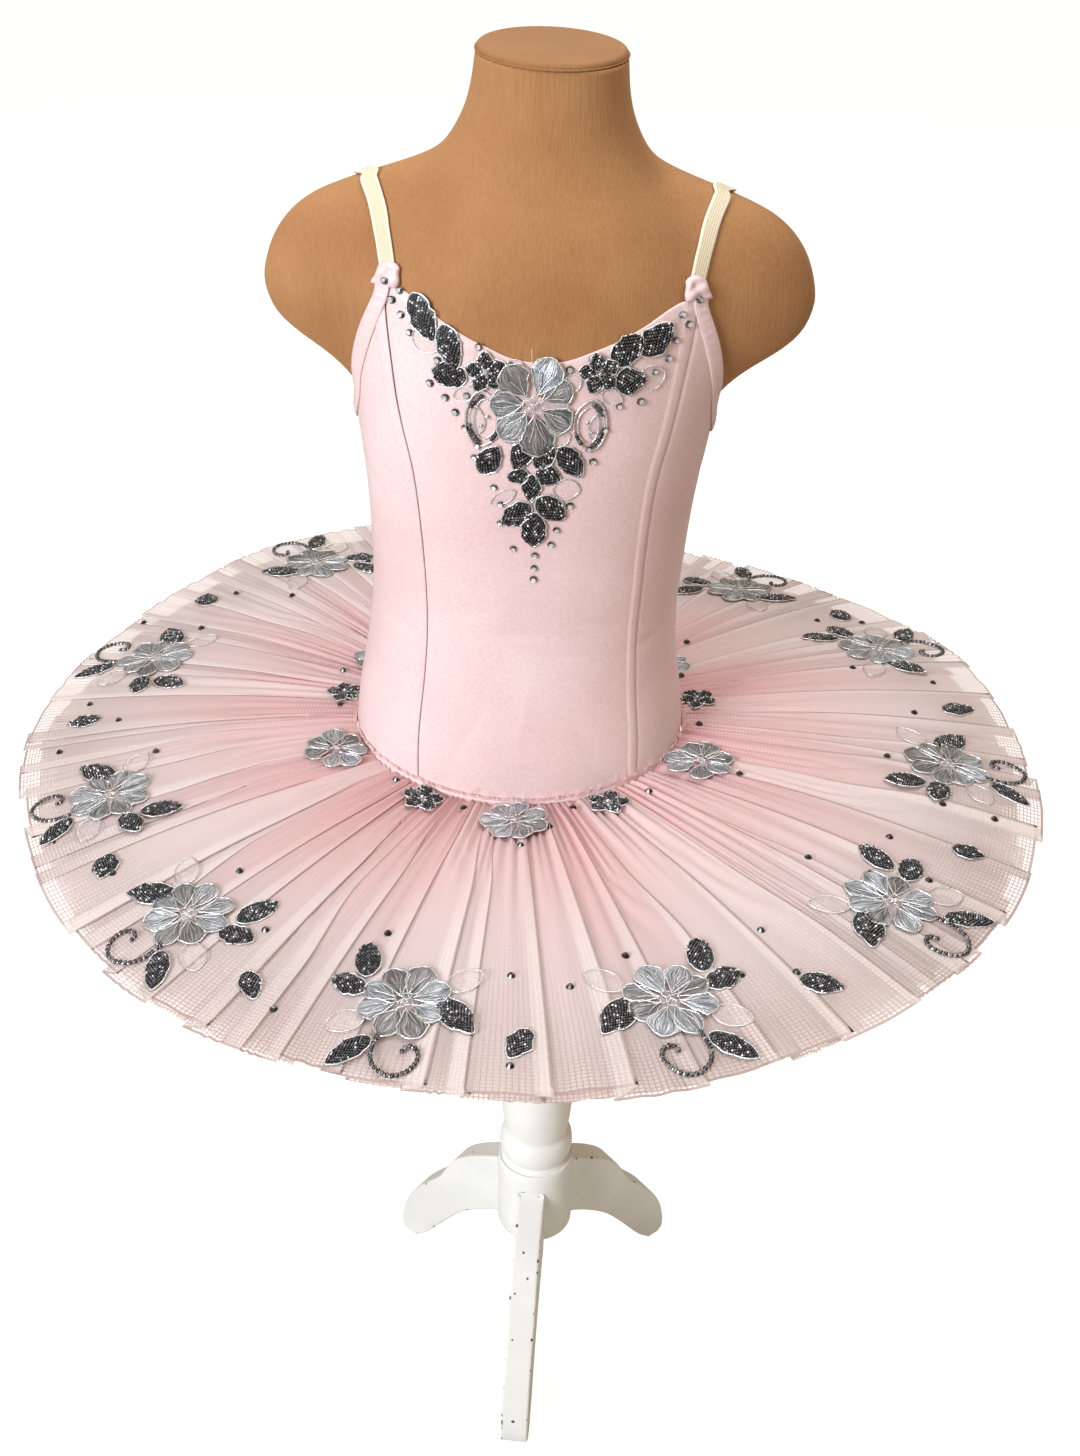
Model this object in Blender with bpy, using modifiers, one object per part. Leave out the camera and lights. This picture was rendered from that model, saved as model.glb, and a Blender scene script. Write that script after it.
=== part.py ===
"""Ballet tutu on a limbless child's dress form with a turned post and three legs.

Metres, +Z up. The front faces -Y and the origin is on the floor under the middle of the skirt.
Left and right are as seen from the front. Angles round the body are in degrees from the front
centre, positive towards +X. Every cloth wall is a surface placed at half its thickness and
given its thickness by a Solidify modifier.
"""
import math

import bmesh
import bpy
from mathutils import Matrix, Vector

# Cloth and its clearances.
GAP = 0.0007            # between cloth and the form under it
EDGE_GAP = 0.0003       # between pieces that are sewn edge to edge
ARM_LIFT = 0.0005       # the side panels bridge the crease in front of the arm by this much
CLOTH = 0.0012          # wall of the stretch cloth
ELASTIC = 0.0010
NET = 0.0010            # wall of a skirt ring
TRIM = 0.0012           # wall of the sewn-on lace

# Dress form. The stub columns are the rounded ends where arms would start.
BODY = (  # height, half width, half depth, stub half width, stub half depth
    (0.587, 0.1110, 0.0880, 0.000, 0.000),
    (0.605, 0.1125, 0.0902, 0.000, 0.000),
    (0.630, 0.1135, 0.0908, 0.000, 0.000),
    (0.660, 0.1113, 0.0875, 0.000, 0.000),
    (0.700, 0.1050, 0.0805, 0.000, 0.000),
    (0.740, 0.1018, 0.0760, 0.000, 0.000),
    (0.780, 0.1030, 0.0762, 0.000, 0.000),
    (0.820, 0.1058, 0.0780, 0.000, 0.000),
    (0.860, 0.1110, 0.0800, 0.000, 0.000),
    (0.885, 0.1135, 0.0798, 0.094, 0.020),
    (0.900, 0.1145, 0.0790, 0.126, 0.030),
    (0.920, 0.1140, 0.0770, 0.157, 0.037),
    (0.940, 0.1120, 0.0740, 0.168, 0.040),
    (0.960, 0.1075, 0.0700, 0.166, 0.039),
    (0.980, 0.0990, 0.0640, 0.156, 0.035),
    (0.995, 0.0900, 0.0590, 0.139, 0.030),
    (1.006, 0.0810, 0.0545, 0.114, 0.025),
    (1.016, 0.0715, 0.0510, 0.084, 0.020),
    (1.030, 0.0600, 0.0475, 0.040, 0.010),
    (1.045, 0.0515, 0.0450, 0.000, 0.000),
    (1.060, 0.0468, 0.0438, 0.000, 0.000),
    (1.081, 0.0440, 0.0433, 0.000, 0.000))
ROUNDNESS = 2.2         # of the chest section: 2 is an ellipse, more is squarer
STUB_ROUNDNESS = 2.4
BLEND = 8.0             # how tightly the stubs run into the chest
BOTTOM = 0.575          # underside of the form
BOTTOM_EDGE = 0.012     # radius round the underside
NECK_TILT = 0.068       # slope of the neck's top, low at the front
NECK_CAP = 0.0035
HIP = 0.626             # height of the hip seam
AXIS = (-0.0071, 0.0025)        # where the body's axis stands at the hip
LEAN = 0.030            # the form leans on its post by this slope, above the hip
LEAN_RAMP = 0.15

# Bodice outlines as (degrees from the front, height).
SEAM_RISE = 0.014       # the hip seam is this much higher at the sides
FRONT_TWIST = 3.6       # degrees by which the front's seams stray towards +X lower down
PRINCESS = ((45.0, 0.610), (45.0, 0.630), (46.5, 0.670), (47.5, 0.710), (48.5, 0.750),
            (49.3, 0.810), (50.5, 0.850), (54.0, 0.880), (57.5, 0.910), (63.0, 0.952))
NECKLINE = ((0, 0.9237), (12, 0.9257), (23, 0.9311), (33, 0.9367), (43, 0.9442), (52, 0.9520),
            (58, 0.9558), (64, 0.9565))
ARMHOLE = ((66.4, 0.9565), (66.3, 0.9495), (68.6, 0.935), (72.4, 0.915), (75.7, 0.900),
           (80.2, 0.880), (90.0, 0.866), (101, 0.869), (112, 0.880), (121, 0.896), (128, 0.915))
BACK_TOP = ((127, 0.913), (137, 0.898), (150, 0.884), (165, 0.876), (180, 0.874))
STRAP = ((65.6, 0.9690), (70.4, 0.983), (76.6, 0.998), (83.4, 1.0072), (90.0, 1.0093),
         (104, 0.998), (113, 0.978), (120, 0.950), (125.2, 0.9185))
STRAP_WIDTH = 0.010
BINDING_WIDTH = 0.009
TAB = (59.2, 67.6, 0.9570, 0.9655)      # first and last angle, bottom and top
SIDE_SEAM = 90.0

# Skirt.
HEM_SHIFT = 0.010       # the hem's middle lies this far to +X of the hip's
HEM_RADIUS = 0.357
HEM_HEIGHTS = (         # degrees from the front, height
    (-180, 0.621), (-150, 0.632), (-120, 0.621), (-90, 0.617), (-55, 0.611), (-30, 0.606),
    (0, 0.616), (45, 0.615), (90, 0.617), (112, 0.613), (145, 0.604), (162, 0.609), (180, 0.621))
SKIRT_HUMP = 0.006
PLEATS = 30
PLEAT_COLUMNS = 4       # facets across one pleat of the top ring
TOP_ROWS = 3
PLEAT_DEPTH = 0.0035    # half the height of a pleat at the hem
LAYER_DROP = 0.0085     # between two rings at the hem
LAYER_PITCH = 0.0030    # between two rings at the seam
LAYER_STEP = 0.009      # each ring is this much shorter than the one above
LAYERS = 4

# Sewn-on trim, by angle round the skirt.
SPRAY_ANGLES = (-71, -44.5, -14, 15.5, 49, 81.5, 114.5, 143.5, 178, -143, -107)
LEAF_ANGLES = (-58.5, -31, -1, 32, 64, 96.5, 127, 160, -160, -124, -90.5)
BIG_FLOWER_ANGLES = (-69, -1.5, 65.5, 128, 180, -128)
SMALL_FLOWER_ANGLES = (-34, 31, 100, 154, -154, -101)
SPRAY_RADIUS = 0.298
LEAF_RADIUS = 0.318
SPRAY_SIZE = 0.033
LEAF_SIZE = 0.0065
BIG_FLOWER_SIZE = 0.0185
SMALL_FLOWER_SIZE = 0.0105
CHEST_HALF_ANGLE = 54
CHEST_LOW_EDGE = ((0, 0.808), (8, 0.822), (16, 0.852), (24, 0.880), (34, 0.902), (46, 0.912),
                  (54, 0.928))
TRIM_LIFT = 0.0006      # between a piece of lace and the cloth it is sewn on

# Stand.
POST = (0.0115, 0.0025)
BLOCK_RADIUS = 0.0322
POST_PROFILE = (  # radius, height
    (0.0000, 0.1110), (0.0240, 0.1110), (0.0286, 0.1135), (0.0315, 0.1180), (0.0322, 0.1240),
    (0.0322, 0.1880), (0.0300, 0.1935), (0.0266, 0.1970), (0.0286, 0.2005), (0.0304, 0.2060),
    (0.0308, 0.2120), (0.0296, 0.2190), (0.0256, 0.2240), (0.0269, 0.2310), (0.0285, 0.2420),
    (0.0294, 0.2550), (0.0294, 0.2680), (0.0283, 0.2800), (0.0250, 0.2920), (0.0280, 0.2985),
    (0.0291, 0.3060), (0.0278, 0.3130), (0.0235, 0.3190), (0.0180, 0.3400), (0.0152, 0.3800),
    (0.0150, 0.5450), (0.0200, 0.5580), (0.0280, 0.5600), (0.0280, 0.5747), (0.0000, 0.5747))
LEG_THICKNESS = 0.023
LEG_ANGLES = {"front": -96.0, "right": 38.0, "left": 142.0}     # from +X
LEG_OUTLINE = (  # distance from the post's axis, height; from the foot round to the foot
    (0.1330, 0.0000), (0.1450, 0.0000), (0.1500, 0.0050), (0.1500, 0.0180), (0.1440, 0.0420),
    (0.1320, 0.0640), (0.1170, 0.0835), (0.1025, 0.1005), (0.0930, 0.1190), (0.0825, 0.1360),
    (0.0670, 0.1505), (0.0500, 0.1625), (0.0270, 0.1770), (0.0270, 0.1080), (0.0420, 0.1000),
    (0.0590, 0.0875), (0.0760, 0.0720), (0.0920, 0.0520), (0.1055, 0.0330), (0.1200, 0.0130))

# Colours (linear RGB), roughness.
FINISHES = {
    "jersey": ((0.42, 0.22, 0.10), 0.85),
    "satin_lycra": ((0.78, 0.42, 0.42), 0.40),
    "elastic": ((0.74, 0.66, 0.50), 0.75),
    "net": ((0.83, 0.58, 0.57), 0.80),
    "silver_lace": ((0.33, 0.35, 0.37), 0.45),
    "dark_lace": ((0.05, 0.06, 0.07), 0.40),
    "white_paint": ((0.78, 0.77, 0.73), 0.50),
}


def start_scene():
    """An empty scene with one collection for the parts and one for the cutters."""
    for old in list(bpy.data.objects):
        bpy.data.objects.remove(old, do_unlink=True)
    collections = []
    for name in ("ballet_tutu", "cutters"):
        collection = bpy.data.collections.new(name)
        bpy.context.scene.collection.children.link(collection)
        collections.append(collection)
    return collections


def material(name):
    made = bpy.data.materials.get(name)
    if made:
        return made
    made = bpy.data.materials.new(name)
    made.use_nodes = True
    colour, roughness = FINISHES[name]
    shader = made.node_tree.nodes["Principled BSDF"]
    shader.inputs["Base Color"].default_value = (*colour, 1)
    shader.inputs["Roughness"].default_value = roughness
    shader.inputs["Metallic"].default_value = 0
    return made


def blend(table, at, column=1, key=0):
    """A smooth curve through one column of a table, read at a value of its key column."""
    keys = [row[key] for row in table]
    if at <= keys[0]:
        return table[0][column]
    if at >= keys[-1]:
        return table[-1][column]
    i = max(n for n in range(len(keys) - 1) if keys[n] <= at)
    before, after = max(i - 1, 0), min(i + 2, len(keys) - 1)
    value = [row[column] for row in table]
    span = keys[i + 1] - keys[i]
    t = (at - keys[i]) / span
    slope_in = (value[i + 1] - value[before]) / (keys[i + 1] - keys[before]) * span
    slope_out = (value[after] - value[i]) / (keys[after] - keys[i]) * span
    return ((2 * t ** 3 - 3 * t ** 2 + 1) * value[i] + (t ** 3 - 2 * t ** 2 + t) * slope_in
            + (3 * t ** 2 - 2 * t ** 3) * value[i + 1] + (t ** 3 - t ** 2) * slope_out)


def ease(t):
    t = min(max(t, 0.0), 1.0)
    return t * t * (3 - 2 * t)


def superellipse(side, front, half_width, half_depth, roundness):
    if half_width < 0.001 or half_depth < 0.001:
        return 0.0
    return ((side / half_width) ** roundness + (front / half_depth) ** roundness) ** (-1 / roundness)


def body_radius(degrees, z):
    """Distance from the body's axis to the form's skin."""
    side, front = abs(math.sin(math.radians(degrees))), abs(math.cos(math.radians(degrees)))
    chest = superellipse(side, front, blend(BODY, z, 1), blend(BODY, z, 2), ROUNDNESS)
    stub = superellipse(side, front, blend(BODY, z, 3), blend(BODY, z, 4), STUB_ROUNDNESS)
    return (chest ** BLEND + stub ** BLEND) ** (1 / BLEND)


def polar(degrees, radius, z):
    turn = math.radians(degrees)
    return Vector((radius * math.sin(turn), -radius * math.cos(turn), z))


def body_point(degrees, z, off=0.0):
    """A point over the form's skin, moved out along the skin's normal."""
    here = polar(degrees, body_radius(degrees, z), z)
    if off == 0.0:
        return here
    around = polar(degrees + 1, body_radius(degrees + 1, z), z) - here
    upward = polar(degrees, body_radius(degrees, z + 0.002), z + 0.002) - here
    return here + around.cross(upward).normalized() * off


def in_place(point):
    """From the body's own axis to the part's frame: set aside at the hip, leaning above it."""
    share = LEAN * ease((point.z - HIP) / LEAN_RAMP)
    return Vector((point.x + share * (point.z - HIP) + AXIS[0], point.y + AXIS[1],
                   point.z - share * point.x))


def sheet(name, finish, columns, rows, place, thickness, closed=False):
    """A grid laid out by place(u, v), u and v from 0 to 1, and thickened to a closed wall."""
    mesh = bmesh.new()
    bmesh.ops.create_grid(mesh, x_segments=columns, y_segments=rows, size=0.5)
    for vert in mesh.verts:
        vert.co = in_place(place(vert.co.x + 0.5, vert.co.y + 0.5))
    if closed:
        bmesh.ops.remove_doubles(mesh, verts=mesh.verts, dist=0.00001)
    made = add_mesh(name, finish, mesh)
    wall = made.modifiers.new("wall", "SOLIDIFY")
    wall.thickness = thickness
    wall.offset = 0
    return made


def add_mesh(name, finish, mesh):
    data = bpy.data.meshes.new(name)
    mesh.to_mesh(data)
    mesh.free()
    made = bpy.data.objects.new(name, data)
    data.materials.append(material(finish))
    PARTS.objects.link(made)
    return made


# ---------------------------------------------------------------- dress form

def neck_tilt(point):
    point.z += NECK_TILT * point.y * ease((point.z - 1.03) / 0.045)
    return point


def underside_point(degrees, along, off):
    """Down the form's side from the hip, round the bottom edge and in under the base."""
    corner = BOTTOM + BOTTOM_EDGE
    drop = HIP - corner
    arc = BOTTOM_EDGE * math.pi / 2
    if along < drop:
        return body_point(degrees, HIP - along, off)
    radius = body_radius(degrees, corner) - BOTTOM_EDGE
    if along < drop + arc:
        turn = (along - drop) / BOTTOM_EDGE
        reach = BOTTOM_EDGE + off
        return polar(degrees, radius + reach * math.cos(turn), corner - reach * math.sin(turn))
    return polar(degrees, radius - (along - drop - arc), BOTTOM - off)


def form_torso():
    columns = 64
    heights = [0.610, 0.635, 0.660, 0.680, 0.700, 0.720, 0.740, 0.760, 0.785, 0.815, 0.840, 0.860,
               0.875, 0.888, 0.900, 0.912, 0.927, 0.942, 0.957, 0.970, 0.982, 0.992, 1.001, 1.008,
               1.015, 1.023, 1.034, 1.047, 1.060, 1.081]
    corner = BOTTOM + BOTTOM_EDGE
    rings = []
    for turn in (90, 60, 30, 0):
        inset = BOTTOM_EDGE * (1 - math.cos(math.radians(turn)))
        rings.append((corner - BOTTOM_EDGE * math.sin(math.radians(turn)), inset))
    rings += [(z, 0.0) for z in heights]
    mesh = bmesh.new()
    bmesh.ops.create_grid(mesh, x_segments=columns, y_segments=len(rings) - 1, size=0.5)
    for vert in mesh.verts:
        share = vert.co.x + 0.5
        degrees = 360 * share + 14 * math.sin(math.radians(720 * share))
        z, inset = rings[round((vert.co.y + 0.5) * (len(rings) - 1))]
        vert.co = in_place(neck_tilt(polar(degrees, body_radius(degrees, max(z, corner)) - inset, z)))
    bmesh.ops.remove_doubles(mesh, verts=mesh.verts, dist=0.00001)
    bmesh.ops.holes_fill(mesh, edges=[edge for edge in mesh.edges if edge.is_boundary])
    bmesh.ops.recalc_face_normals(mesh, faces=mesh.faces)
    add_mesh("form_torso", "jersey", mesh)


def form_neck_cap():
    """The covered disc on the neck, slightly domed."""
    mesh = bmesh.new()
    bmesh.ops.create_cone(mesh, cap_ends=True, segments=40, radius1=0.0437, radius2=0.0437,
                          depth=NECK_CAP)
    top_edges = [edge for edge in mesh.edges if all(vert.co.z > 0 for vert in edge.verts)]
    bmesh.ops.bevel(mesh, geom=top_edges, offset=0.0025, segments=3, profile=0.5,
                    affect="EDGES")
    bmesh.ops.translate(mesh, verts=mesh.verts,
                        vec=(0, 0, BODY[-1][0] + NECK_CAP / 2 + EDGE_GAP))
    for vert in mesh.verts:
        vert.co = in_place(neck_tilt(vert.co))
    add_mesh("form_neck_cap", "jersey", mesh)


# -------------------------------------------------------------------- bodice

def seam_height(degrees):
    return HIP - 0.002 + SEAM_RISE * math.sin(math.radians(degrees)) ** 2


def princess(z):
    return blend(PRINCESS, z, 0, 1)


def twist(z):
    return FRONT_TWIST * ease((0.90 - z) / 0.20)


def armhole_band():
    """The armhole's edge and the same curve set in by the binding's width."""
    middle = 0.11
    samples = []
    for n in range(41):
        at = n / 40 * (len(ARMHOLE) - 1)
        table = [(i, degrees, z) for i, (degrees, z) in enumerate(ARMHOLE)]
        here = Vector((blend(table, at, 1), blend(table, at, 2)))
        ahead = Vector((blend(table, at + 0.05, 1), blend(table, at + 0.05, 2)))
        back = Vector((blend(table, at - 0.05, 1), blend(table, at - 0.05, 2)))
        run = ahead - back
        run = Vector((math.radians(run.x) * middle, run.y)).normalized()
        inward = Vector((run.y, -run.x)) * BINDING_WIDTH
        inset = here + Vector((math.degrees(inward.x / middle), inward.y))
        samples.append((here, inset))
    return samples


# The panels end half way under the binding, which folds over their edge.
BAND = armhole_band()
PANEL_EDGE = [outer.lerp(inner, 0.5) for outer, inner in BAND]
FRONT_EDGE = sorted((spot.y, spot.x) for spot in PANEL_EDGE if spot.x <= SIDE_SEAM)
BACK_EDGE = sorted((spot.x, spot.y) for spot in PANEL_EDGE if spot.x >= SIDE_SEAM)


def side_limit(z):
    """Where a side front panel ends at a height: the side seam, or the binding above it."""
    lowest = FRONT_EDGE[0][0]
    limit = SIDE_SEAM - math.degrees(EDGE_GAP / 0.22)
    if z <= lowest:
        return limit
    return min(limit, blend(FRONT_EDGE, z, 1))


def back_top(degrees):
    """The back panel's upper edge: under the binding, then the scoop of the back."""
    from_front = 180 - abs(180 - degrees)
    edge = blend(BACK_EDGE, from_front, 1)
    if from_front > BACK_EDGE[-1][0]:
        return blend(BACK_TOP, from_front, 1)
    return min(edge, blend(BACK_TOP, max(from_front, BACK_TOP[0][0]), 1))


CLOTH_MID = GAP + CLOTH / 2


def bodice():
    half_gap = math.degrees(EDGE_GAP / 0.13)

    def front(u, v):
        side = 2 * u - 1
        degrees = side * 50
        for _ in range(6):
            low, high = seam_height(degrees), blend(NECKLINE, abs(degrees), 1)
            z = low + v * (high - low)
            degrees = side * (princess(z) - half_gap) + twist(z)
        return body_point(degrees, z, CLOTH_MID)

    sheet("bodice_front", "satin_lycra", 14, 18, front, CLOTH)

    for name, sign in (("left", -1), ("right", 1)):
        def side_front(u, v, sign=sign):
            degrees = 70
            for _ in range(6):
                low = seam_height(degrees)
                z = low + v * (TAB[2] - EDGE_GAP - low)
                first, last = princess(z) + sign * twist(z) + half_gap, side_limit(z)
                degrees = first + u * (last - first)
            return body_point(sign * degrees, z, CLOTH_MID + ARM_LIFT * ease((z - 0.86) / 0.04))

        sheet("bodice_side_" + name, "satin_lycra", 6, 26, side_front, CLOTH)

    def back(u, v):
        first = SIDE_SEAM + half_gap
        degrees = first + u * (360 - 2 * first)
        low = seam_height(degrees)
        return body_point(degrees, low + v * (back_top(degrees) - low), CLOTH_MID)

    sheet("bodice_back", "satin_lycra", 30, 13, back, CLOTH)


def bindings_and_straps():
    for name, sign in (("left", -1), ("right", 1)):
        def binding(u, v, sign=sign):
            outer, inner = BAND[round(u * (len(BAND) - 1))]
            spot = inner.lerp(outer, v)
            return body_point(sign * spot.x, spot.y, CLOTH_MID + CLOTH + ARM_LIFT + EDGE_GAP)

        sheet("armhole_binding_" + name, "satin_lycra", 20, 2, binding, CLOTH)

        def strap(u, v, sign=sign):
            table = [(i, degrees, z) for i, (degrees, z) in enumerate(STRAP)]
            at = u * (len(STRAP) - 1)
            off = GAP + 0.0003 + ELASTIC / 2
            spots = [body_point(sign * blend(table, at + step, 1), blend(table, at + step, 2), off)
                     for step in (-0.03, 0, 0.03)]
            under = body_point(sign * blend(table, at, 1), blend(table, at, 2))
            across = (spots[2] - spots[0]).cross(spots[1] - under).normalized()
            return spots[1] + across * (v - 0.5) * STRAP_WIDTH

        sheet("strap_" + name, "elastic", 24, 1, strap, ELASTIC)

        def tab(u, v, sign=sign):
            first, last, low, high = TAB
            return body_point(sign * (first + u * (last - first)), low + v * (high - low),
                              GAP + 0.0010)

        sheet("strap_tab_" + name, "satin_lycra", 3, 2, tab, 0.0020)


def brief():
    """Knickers under the skirt, cut high at the legs, with an open crotch round the post."""
    corner = BOTTOM + BOTTOM_EDGE
    shortest, longest = 0.019, HIP - corner - 0.0020

    def body(u, v):
        degrees = 360 * u
        start = HIP - seam_height(degrees) + EDGE_GAP
        length = shortest + (longest - shortest) * abs(math.cos(math.radians(degrees))) ** 4
        return underside_point(degrees, start + v * (length - start), CLOTH_MID)

    sheet("brief", "satin_lycra", 48, 3, body, CLOTH, closed=True)

    arc = BOTTOM_EDGE * math.pi / 2
    stops = [longest + 0.0006, HIP - corner]
    stops += [HIP - corner + arc * share for share in (0.25, 0.5, 0.75, 1.0)]
    stops += [stops[-1] + step for step in (0.016, 0.032)]
    for name, centre in (("front", 0), ("back", 180)):
        def tongue(u, v, centre=centre):
            row = round(v * (len(stops) - 1))
            half_angle = 17 - 4 * ease(row / 5)
            return underside_point(centre + half_angle * (2 * u - 1), stops[row], CLOTH_MID)

        sheet("brief_gusset_" + name, "satin_lycra", 4, len(stops) - 1, tongue, CLOTH)


# --------------------------------------------------------------------- skirt

def skirt_inner(degrees, layer):
    """Radius and height at which a ring is sewn to the brief."""
    z = seam_height(degrees) - LAYER_PITCH * (layer + 1)
    return body_radius(degrees, z) + GAP + CLOTH + 0.0009, z


def skirt_surface(degrees, out, layer, pleat=1.0):
    """Mid-wall of a ring: out is 0 at the seam and 1 at the hem."""
    inner, start = skirt_inner(degrees, layer)
    waviness = 0.004 * math.sin(math.radians(5 * degrees + 40)) * math.cos(math.radians(2 * degrees))
    outer = HEM_RADIUS + waviness - LAYER_STEP * layer
    end = blend(HEM_HEIGHTS, (degrees + 180) % 360 - 180) - LAYER_DROP * layer
    z = start + (end - start) * out + SKIRT_HUMP * math.sin(math.pi * out)
    depth = PLEAT_DEPTH * (1 - 0.45 * (layer > 0)) * ease(out * 1.3)
    swing = math.cos(math.radians(PLEATS * degrees)) * (0.8 + 0.2 * math.sin(math.radians(3 * degrees)))
    spot = polar(degrees, inner + (outer - inner) * out, z + pleat * depth * swing)
    return spot + Vector((HEM_SHIFT * out, 0, 0))


def skirt():
    for layer in range(LAYERS):
        columns = PLEATS * (PLEAT_COLUMNS if layer == 0 else 2)

        def place(u, v, layer=layer):
            return skirt_surface(360 * u, v, layer)

        rows = TOP_ROWS if layer == 0 else 2
        sheet(f"skirt_ring_{layer + 1}", "net", columns, rows, place, NET, closed=True)

    def heading(u, v):
        degrees = 360 * u
        return body_point(degrees, seam_height(degrees) + 0.0002 + 0.003 * v,
                          GAP + CLOTH + 0.0012)

    sheet("hip_heading", "net", 52, 1, heading, NET, closed=True)


# ---------------------------------------------------------------------- trim

def plate(name, finish, outline, place):
    """A flat piece of lace with a round outline, laid out by place(x, y) in metres."""
    mesh = bmesh.new()
    bmesh.ops.create_circle(mesh, cap_ends=True, cap_tris=True, segments=len(outline), radius=1)
    rim = [vert for vert in mesh.verts if vert.co.length > 0.5]
    for vert in mesh.verts:
        if vert not in rim:
            vert.co = in_place(place(0.0, 0.0))
    for vert, (x, y) in zip(rim, outline):
        vert.co = in_place(place(x, y))
    made = add_mesh(name, finish, mesh)
    wall = made.modifiers.new("wall", "SOLIDIFY")
    wall.thickness = TRIM
    wall.offset = 0


def lobed(radius, lobes, depth, points, stretch=1.0):
    """A round outline with lobes, longer along y by stretch."""
    spots = []
    for n in range(points):
        turn = 2 * math.pi * n / points
        reach = radius * (1 + depth * math.cos(lobes * turn))
        spots.append((reach * math.sin(turn), reach * math.cos(turn) * stretch))
    return spots


def ring_height(degrees, out):
    """Height of the top ring's facets at a place between its columns and rows."""
    columns = PLEATS * PLEAT_COLUMNS
    across, along = degrees / 360 * columns, min(out, 1.0) * TOP_ROWS
    column, row = math.floor(across), min(math.floor(along), TOP_ROWS - 1)
    corners = [[skirt_surface((column + i) * 360 / columns, (row + j) / TOP_ROWS, 0).z
                for j in (0, 1)] for i in (0, 1)]
    near, far = [low + (high - low) * (along - row) for low, high in corners]
    return near + (far - near) * (across - column)


def on_skirt(degrees, radius, outline):
    """Lays a plate on the crests of the top ring that it reaches, round one place on it."""
    def flat(x, y):
        turned = degrees + math.degrees(x / radius)
        inner, _ = skirt_inner(turned, 0)
        out = (radius + y - inner) / (HEM_RADIUS - inner)
        return skirt_surface(turned, out, 0, pleat=0), ring_height(turned, out)

    samples = [flat(x * share / 8, y * share / 8) for x, y in outline for share in range(9)]
    crest = max(ring - spot.z for spot, ring in samples)
    return lambda x, y: flat(x, y)[0] + Vector((0, 0, crest + (NET + TRIM) / 2 + TRIM_LIFT))


def trim():
    def chest(u, v):
        degrees = CHEST_HALF_ANGLE * (2 * u - 1)
        high = blend(NECKLINE, abs(degrees), 1) - 0.003
        low = min(blend(CHEST_LOW_EDGE, abs(degrees), 1), high - 0.006)
        return body_point(degrees, low + v * (high - low), GAP + CLOTH + TRIM_LIFT + TRIM / 2)

    sheet("chest_applique", "silver_lace", 16, 4, chest, TRIM)

    for n, degrees in enumerate(SPRAY_ANGLES):
        skirt_plate(f"skirt_spray_{n + 1:02d}", "silver_lace", lobed(SPRAY_SIZE, 4, 0.18, 16),
                    degrees, SPRAY_RADIUS)
    for n, degrees in enumerate(LEAF_ANGLES):
        skirt_plate(f"skirt_leaf_{n + 1:02d}", "dark_lace", lobed(LEAF_SIZE, 2, 0.2, 8, 1.5),
                    degrees, LEAF_RADIUS)
    for kind, angles, size, finish in (
            ("big", BIG_FLOWER_ANGLES, BIG_FLOWER_SIZE, "silver_lace"),
            ("small", SMALL_FLOWER_ANGLES, SMALL_FLOWER_SIZE, "dark_lace")):
        for n, degrees in enumerate(angles):
            skirt_plate(f"hip_flower_{kind}_{n + 1}", finish, lobed(size, 5, 0.1, 15),
                        degrees, skirt_inner(degrees, 0)[0] + size + 0.003)


def skirt_plate(name, finish, outline, degrees, radius):
    plate(name, finish, outline, on_skirt(degrees, radius, outline))


# --------------------------------------------------------------------- stand

def post():
    """The turned post with the block that takes the legs."""
    data = bpy.data.meshes.new("stand_post")
    mesh = bmesh.new()
    spots = [mesh.verts.new((radius, 0, z)) for radius, z in POST_PROFILE]
    for first, second in zip(spots, spots[1:]):
        mesh.edges.new((first, second))
    mesh.to_mesh(data)
    mesh.free()
    made = bpy.data.objects.new("stand_post", data)
    data.materials.append(material("white_paint"))
    PARTS.objects.link(made)
    made.location.x, made.location.y = POST
    turned = made.modifiers.new("turned", "SCREW")
    turned.steps = turned.render_steps = 32
    turned.use_merge_vertices = True
    turned.merge_threshold = 0.0001
    turned.use_normal_calculate = True


def leg(name, degrees):
    """A board cut to a cyma outline, with its inner end scribed to the round block."""
    curve = bpy.data.curves.new(name, "CURVE")
    curve.dimensions = "2D"
    curve.fill_mode = "BOTH"
    curve.extrude = LEG_THICKNESS / 2
    outline = curve.splines.new("POLY")
    outline.points.add(len(LEG_OUTLINE) - 1)
    for point, (reach, height) in zip(outline.points, LEG_OUTLINE):
        point.co = (reach, height, 0, 1)
    outline.use_cyclic_u = True
    drawn = bpy.data.objects.new(name, curve)
    PARTS.objects.link(drawn)
    bpy.context.view_layer.update()
    data = bpy.data.meshes.new_from_object(drawn.evaluated_get(bpy.context.evaluated_depsgraph_get()))
    bpy.data.objects.remove(drawn)
    mesh = bmesh.new()
    mesh.from_mesh(data)
    bmesh.ops.remove_doubles(mesh, verts=mesh.verts, dist=0.00001)
    upright = Matrix.Rotation(math.radians(degrees), 4, "Z") @ Matrix.Rotation(math.pi / 2, 4, "X")
    bmesh.ops.transform(mesh, verts=mesh.verts, matrix=Matrix.Translation((*POST, 0)) @ upright)
    mesh.to_mesh(data)
    mesh.free()
    data.materials.clear()
    data.materials.append(material("white_paint"))
    made = bpy.data.objects.new(name, data)
    PARTS.objects.link(made)
    scribe = made.modifiers.new("scribe", "BOOLEAN")
    scribe.operation = "DIFFERENCE"
    scribe.solver = "EXACT"
    scribe.object = block_cutter()
    eased = made.modifiers.new("eased edges", "BEVEL")
    eased.width = 0.0025
    eased.segments = 2
    eased.limit_method = "ANGLE"
    eased.angle_limit = math.radians(50)


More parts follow.
